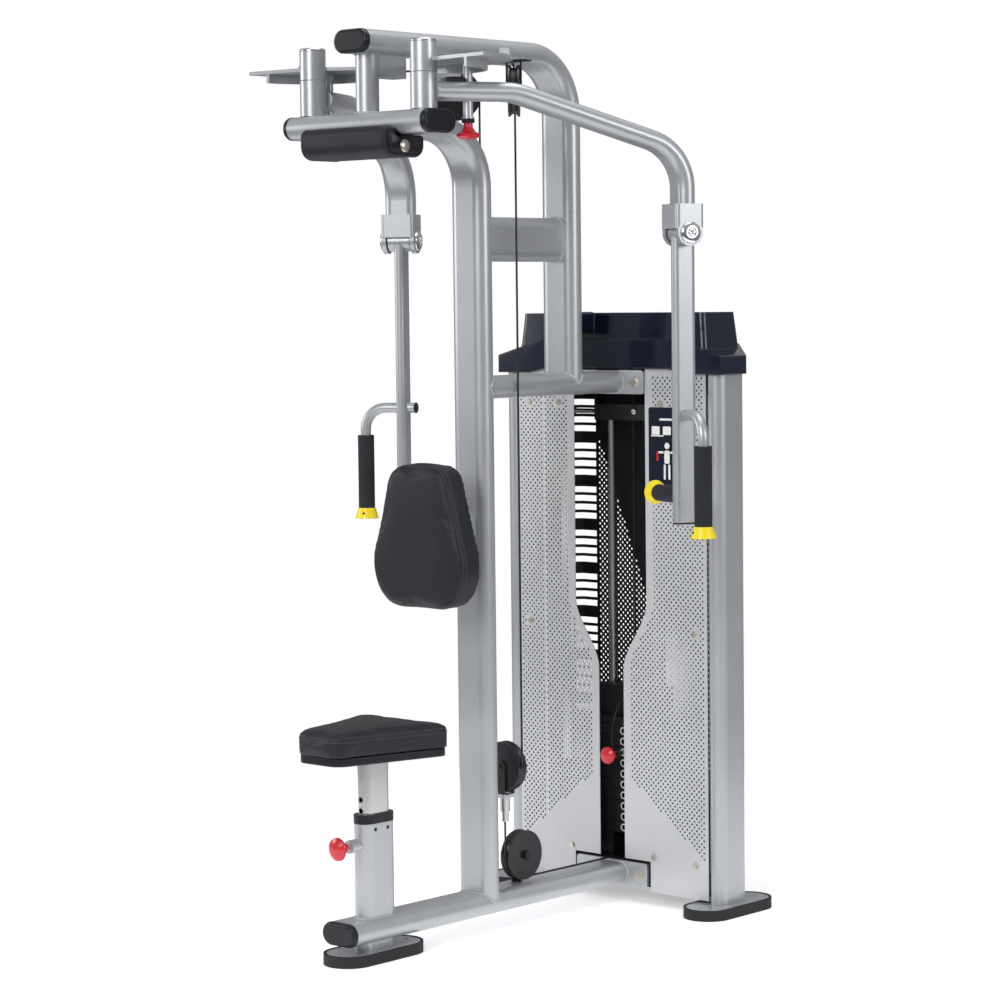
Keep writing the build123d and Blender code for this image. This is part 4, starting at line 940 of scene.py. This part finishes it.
class PECDECK_OT_panels(bpy.types.Operator):
    """Makes the perforated front panels and the rear panel"""

    bl_idname = "pecdeck.panels"
    bl_label = "Perforated panels"

    def execute(self, context):
        sizes = context.scene.pecdeck_sizes
        cell, radius = sizes.hole_cell, sizes.hole_radius
        high, outer_x = 1.300, 0.296
        z = np.append(np.arange(PANEL_LOW, high, cell), high)
        x = np.arange(0.039, outer_x + cell, cell)
        edge = slot_edge(z)
        u = np.clip(np.maximum(x[None], edge[:, None]), None, outer_x)
        mid_z, mid_x = (z[:-1] + z[1:])[:, None] / 2, (x[:-1] + x[1:])[None] / 2
        width = np.maximum(np.diff(u, axis=1)[:-1], np.diff(u, axis=1)[1:])
        gone = (width < 1e-6) | ((mid_z < 0.1) & (mid_x < 0.116))
        row, col = np.indices(gone.shape)
        slope = slope_line(mid_x)[0]
        holed = ((row + col) % 2 == 0) & (mid_x > slot_edge(mid_z) + 0.020) & (mid_x < 0.285)
        holed &= (mid_z > slope) & (mid_z < 1.268)
        screws = ((0.160, 1.205), (0.130, 0.115), (0.257, 0.662), (0.257, 0.110), (0.257, 1.205))
        for screw_x, screw_z in screws:
            holed &= np.hypot(mid_x - screw_x, mid_z - screw_z) > 0.015
        for side, sign in SIDES:
            sheet = pierced_sheet(u, z, gone, holed, radius, lambda a, b: np.column_stack(
                [sign * a, np.full(len(a), PANEL_Y), b]))
            panel = add_piece(f"{side}_front_panel", sheet, "frame", "shroud_silver", smooth=False)
            thicken(panel, SHEET_T)
            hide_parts(f"{side}_shroud")

        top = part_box("rear_shroud")[1].z
        z = np.append(np.arange(PANEL_LOW, top, cell), top)
        for side, sign in SIDES:
            x = np.append(np.arange(0, REAR_KNEE[-1], cell), REAR_KNEE[-1])
            u = np.broadcast_to(x[None], (len(z), len(x)))
            mid_z, mid_x = (z[:-1] + z[1:])[:, None] / 2, (x[:-1] + x[1:])[None] / 2
            row, col = np.indices((len(z) - 1, len(x) - 1))
            holed = ((row + col) % 2 == 0) & (mid_x > 0.03) & (mid_x < 0.290) & (mid_z > 0.3)
            holed &= mid_z < slope_line(mid_x)[1]
            gone = np.zeros(row.shape, bool)
            if sign < 0:
                band = (mid_x > SLOTS_FROM) & (mid_x < SLOTS_TO) & (mid_z > 0.42) & (mid_z < 1.215)
                margin = (mid_x > SLOTS_FROM - 0.008) & (mid_x < SLOTS_TO + 0.006) & (mid_z > 0.41)
                holed &= ~margin
                gone = band & (row % 15 < 11) & (row % 15 % 3 < 2)
            sheet = pierced_sheet(u, z, gone, holed, radius * 1.15, lambda a, b: np.column_stack(
                [sign * np.interp(a, REAR_KNEE, REAR_KNEE_X), np.interp(a, REAR_KNEE, REAR_KNEE_Y), b]))
            panel = add_piece(f"{side}_rear_panel", sheet, "frame", "black_steel", smooth=False)
            thicken(panel, SHEET_T)
            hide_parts("rear_shroud")
        return {"FINISHED"}


# ---------------------------------------------------------------- cables


def upright_cable(name, x, y, fixed_z, moving_z, node):
    """An upright length of cable that stretches between its fixed end and the end on a moving body."""
    z = np.linspace(min(fixed_z, moving_z), max(fixed_z, moving_z), 40)
    path = np.column_stack([np.full(40, x), np.full(40, y), z])
    piece = add_piece(name, carried(path, CABLE_R, 12, up=(0, 1, 0)), None, "cable_sheath")
    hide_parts(node)
    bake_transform(piece)


class PECDECK_OT_cables(bpy.types.Operator):
    """Makes the lengths of cable that stretch, and the wrap that winds on each cam"""

    bl_idname = "pecdeck.cables"
    bl_label = "Cables"

    def execute(self, context):
        for side, sign in SIDES:
            upright_cable(f"{side}_falling_cable", sign * GROOVE_R, FLOAT_Y, TOP_PULLEY_Z, FLOAT_Z,
                          "floating_cable_runs")
            dx, dy = GROOVE_R - PIVOT.x, FLOAT_Y - PIVOT.y
            leave = math.atan2(dy, dx) - math.acos(CAM_R / math.hypot(dx, dy))
            turn = leave - np.radians(np.linspace(0, 3.5, 60))
            path = np.column_stack([sign * (PIVOT.x + CAM_R * np.cos(turn)), PIVOT.y + CAM_R * np.sin(turn),
                                    np.full(60, CAM_CABLE_Z)])
            wrap = add_piece(f"{side}_cam_wrap", carried(path, CABLE_R, 10), None, "cable_sheath", merge=1e-6)
            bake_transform(wrap)
        upright_cable("lifting_cable", 0, FLOAT_Y, BASE_PULLEY_Z, BLOCK_LOW, "block_cable")
        upright_cable("stack_lifting_cable", 0, STACK_Y, UPPER_PULLEY_Z, HEAD_TOP, "stack_cable")
        return {"FINISHED"}


# ---------------------------------------------------------------- hinges, plugs and screws


class PECDECK_OT_small_parts(bpy.types.Operator):
    """Makes the hinge caps, washers, plugs, collar screws, knob rings and stack rings"""

    bl_idname = "pecdeck.small_parts"
    bl_label = "Small parts"

    def execute(self, context):
        cap = [(0, -0.0005), (0.0240, -0.0005), (0.0240, 0.0014), (0.0232, 0.0034), (0.0205, 0.0058),
               (0.0160, 0.0076), (0.0110, 0.0084), (0.0100, 0.0080), (0.0098, 0.0068), (0.0086, 0.0066),
               (0.0086, 0.0096), (0.0080, 0.0102), (0.0046, 0.0102), (0.0042, 0.0098), (0.0040, 0.0060),
               (0, 0.0060)]
        bolt = [(0, -0.042), (0.0079, -0.042), (0.0079, 0.042), (0, 0.042)]
        washer = [(0.0090, 0.0), (0.0262, 0.0), (0.0262, 0.0022), (0.0090, 0.0022), (0.0090, 0.0)]
        plug = [(0, 0), (0.0126, 0), (0.0130, 0.0008), (0.0130, 0.0035), (0.0112, 0.0052), (0, 0.0056)]
        screw = [(0, 0), (0.0030, 0), (0.0030, 0.0010), (0.0022, 0.0018), (0.0010, 0.0018), (0.0008, 0.0008),
                 (0, 0.0008)]
        collar = [(0.0108, -0.0004), (0.0142, -0.0004), (0.0142, 0.0080), (0.0134, 0.0088),
                  (0.0134, 0.0002), (0.0108, 0.0002), (0.0108, -0.0004)]
        stop = rounded_outline([(-0.020, -0.012), (0.020, -0.012), (0.020, 0.012), (-0.020, 0.012)], 0.005)
        for side, sign in SIDES:
            across, arm, lower_arm = arm_across(sign), f"{side}_arm", f"{side}_lower_arm"
            caps, washers = [], []
            for way in (-1, 1):
                caps.append(turned(cap, arm_point(ARM_REACH, way * 0.042, HINGE_Z, sign), across * way, 48))
                place = arm_point(ARM_REACH, way * 0.0277, HINGE_Z, sign)
                washers.append(turned(washer, place, across * way, 40))
            caps.append(turned(bolt, arm_point(ARM_REACH, 0, HINGE_Z, sign), across, 32))
            dome = add_piece(f"{side}_hinge_caps", join_parts(caps), arm, "chrome")
            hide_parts(f"{side}_hinge_bolt")
            add_piece(f"{side}_hinge_washers", join_parts(washers), lower_arm, "black_plastic")
            shape = turned(plug, arm_point(ARM_REACH, 0.0301, 1.195, sign), across, 32)
            add_piece(f"{side}_handle_plug", shape, lower_arm, "black_plastic")
            outwards = Vector((math.cos(ARM_ANGLE) * sign, math.sin(ARM_ANGLE), 0))
            spot = arm_point(ARM_REACH, -0.098, 0.937, sign) - outwards * 0.0250
            add_piece(f"{side}_collar_screw", turned(screw, spot, -outwards, 20), lower_arm, "black_plastic")
            shape = turned(collar, arm_point(PIN_REACH, 0, 1.838, sign), (0, 0, 1), 32)
            add_piece(f"{side}_pin_collar", shape, arm, "black_plastic")
            rows, faces = pad_blank(stop, 0.013, 0.001, 0.003)
            points = np.array([arm_point(0.068 + u, -0.014 + v, 1.9215 + w, sign) for u, v, w in rows])
            add_piece(f"{side}_stop_bumper", (points, faces), arm, "rubber")
        bolt = [(0, 0), (0.0085, 0), (0.0085, 0.0015), (0.0060, 0.0040), (0.0028, 0.0046), (0, 0.0046)]
        shape = turned(bolt, (0.016, at(1.012), 1.182), (0, -1, 0), 28)
        add_piece("guide_bolt", shape, "frame", "zinc")
        ring = [(0.0062, 0.0), (0.0095, 0.0), (0.0095, 0.0004), (0.0062, 0.0004), (0.0062, 0.0)]
        face_y = STACK_Y - 0.050
        for label, body, first, last in (
                ("resting", "frame", 0, PLATES - LIFTED), ("lifted", "carriage", PLATES - LIFTED, PLATES)):
            rings = [turned(ring, (0, face_y, STACK_LOW + 0.0127 + PLATE_PITCH * k), (0, -1, 0), 24)
                     for k in range(first, last)]
            add_piece(f"{label}_plate_rings", join_parts(rings), body, "white_mark")
        return {"FINISHED"}


# ---------------------------------------------------------------- welds


def oval(width, thick, count=160):
    """Evenly spaced points round a flat-oval section, as (wide, thin) rows."""
    flat = (width - thick) / 2
    a = np.linspace(-math.pi / 2, math.pi / 2, 24)
    right = np.stack([flat + thick / 2 * np.cos(a), thick / 2 * np.sin(a)], -1)
    return spaced(np.vstack([right, -right]), count, closed=True)


def crown_of(offset):
    """Height of a flat-oval tube's wide face at a distance from its middle: level, then round."""
    past = np.maximum(np.abs(offset) - OVAL_FLAT, 0)
    return np.sqrt(np.maximum(HALF_OVAL ** 2 - past ** 2, 0))


class PECDECK_OT_welds(bpy.types.Operator):
    """Makes the rippled weld beads where the frame's tubes meet"""

    bl_idname = "pecdeck.welds"
    bl_label = "Weld beads"

    def execute(self, context):
        radius = context.scene.pecdeck_sizes.bead_radius
        wide, thin = oval(0.102, 0.051).T
        turn = np.linspace(0, 2 * math.pi, 160, endpoint=False)
        round_a, round_b = HALF_OVAL * np.cos(turn), HALF_OVAL * np.sin(turn)
        loops = [
            (wide, UPRIGHT_Y + thin, BASE_Z + crown_of(wide)),
            (thin, at(0.117) + wide, np.full(160, BASE_Z + HALF_OVAL)),
            (wide, BAR_Y + OVAL_FLAT + np.sqrt(HALF_OVAL ** 2 - thin ** 2 + 1e-12), BAR_Z + thin),
            (thin, np.full(160, UPRIGHT_Y + HALF_OVAL), BRIDGE_Z + wide),
            (thin, np.full(160, REAR_Y - HALF_OVAL), BRIDGE_Z + wide),
            (wide, UPRIGHT_Y + crown_of(wide), LINK_Z + thin),
            (wide, REAR_Y + thin, LINK_Z + crown_of(wide)),
            (round_a, BAR_Y + round_b, np.full(160, BAR_Z + HALF_OVAL)),
            (round_a, BAR_Y + round_b, np.full(160, TOP_Z - HALF_OVAL)),
            (wide, np.full(160, at(0.932)), BASE_Z + thin),
            (wide, np.full(160, at(0.932)), LINK_Z + thin),
        ]
        parts = []
        for x, y, z in loops:
            loop = spaced(np.column_stack([x, y, z]), 220, closed=True)
            ripple = radius * (1 + 0.16 * np.sin(np.arange(220) * 2 * math.pi * 55 / 220))
            parts.append(carried(loop, ripple, 8, closed=True))
        add_piece("frame_welds", join_parts(parts), "frame", "silver_paint")
        return {"FINISHED"}


# ---------------------------------------------------------------- placard


class PECDECK_OT_placard(bpy.types.Operator):
    """Makes the plain placard with a simple drawing of a seated user"""

    bl_idname = "pecdeck.placard"
    bl_label = "Placard"

    def execute(self, context):
        front = at(0.937)

        def block(x0, x1, z0, z1, radius, proud):
            outline = rounded_outline([(x0, z0), (x1, z0), (x1, z1), (x0, z1)], radius, 6)
            return plate_shape(outline, proud, lambda u, v, w: np.column_stack([u, front - w - 0.0001, v]))

        proud = 0.0016
        add_piece("placard", block(0.124, 0.236, 1.011, 1.197, 0.006, 0.0012), "frame", "cover_plastic",
                  smooth=False)
        marks = [(0.158, 0.206, 1.166, 1.171, 0.001), (0.132, 0.170, 1.128, 1.131, 0.001)]
        marks += [(x, x + 0.024, 1.132, 1.152, 0.002) for x in (0.134, 0.168, 0.202)]
        disc = [(0, 0), (0.0075, 0), (0.0075, proud), (0, proud)]
        head = turned(disc, (0.180, front, 1.106), (0, -1, 0), 28)
        figure = [(0.172, 0.188, 1.064, 1.095, 0.004), (0.150, 0.170, 1.088, 1.093, 0.002),
                  (0.190, 0.210, 1.088, 1.093, 0.002), (0.170, 0.176, 1.026, 1.062, 0.002),
                  (0.184, 0.190, 1.026, 1.062, 0.002)]
        white = [block(*mark, proud) for mark in marks] + [head] + [block(*part, proud) for part in figure]
        add_piece("placard_marks", join_parts(white), "frame", "white_mark", smooth=False)
        red = [block(x, x + 0.006, 1.070, 1.093, 0.002, proud) for x in (0.148, 0.206)]
        add_piece("placard_accents", join_parts(red), "frame", "red_plastic", smooth=False)
        return {"FINISHED"}


# ---------------------------------------------------------------- panel and registration


class PECDECK_PT_tools(bpy.types.Panel):
    """Buttons for each group of pieces"""

    bl_label = "Pec Deck"
    bl_idname = "PECDECK_PT_tools"
    bl_space_type = "VIEW_3D"
    bl_region_type = "UI"
    bl_category = "Pec Deck"

    def draw(self, context):
        for step in STEPS:
            self.layout.operator(step.bl_idname)
        for name in ("pecdeck_colours", "pecdeck_sizes", "pecdeck_stage"):
            settings = getattr(context.scene, name)
            for key in settings.__annotations__:
                self.layout.prop(settings, key)


STEPS = (PECDECK_OT_stage, PECDECK_OT_tether, PECDECK_OT_finishes, PECDECK_OT_pads, PECDECK_OT_panels,
         PECDECK_OT_cables, PECDECK_OT_small_parts, PECDECK_OT_welds, PECDECK_OT_placard)
SETTINGS = (("pecdeck_colours", PecDeckColours), ("pecdeck_sizes", PecDeckSizes),
            ("pecdeck_stage", PecDeckStage))


def register():
    for name, kind in SETTINGS:
        bpy.utils.register_class(kind)
        setattr(bpy.types.Scene, name, bpy.props.PointerProperty(type=kind))
    for kind in (*STEPS, PECDECK_PT_tools):
        bpy.utils.register_class(kind)


def unregister():
    for kind in reversed((*STEPS, PECDECK_PT_tools)):
        bpy.utils.unregister_class(kind)
    for name, kind in reversed(SETTINGS):
        delattr(bpy.types.Scene, name)
        bpy.utils.unregister_class(kind)


def main():
    """Register the add-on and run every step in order."""
    register()
    make_finishes(bpy.context.scene.pecdeck_colours)
    for step in STEPS:
        family, action = step.bl_idname.split(".")
        getattr(getattr(bpy.ops, family), action)()


if __name__ == "__main__":
    main()
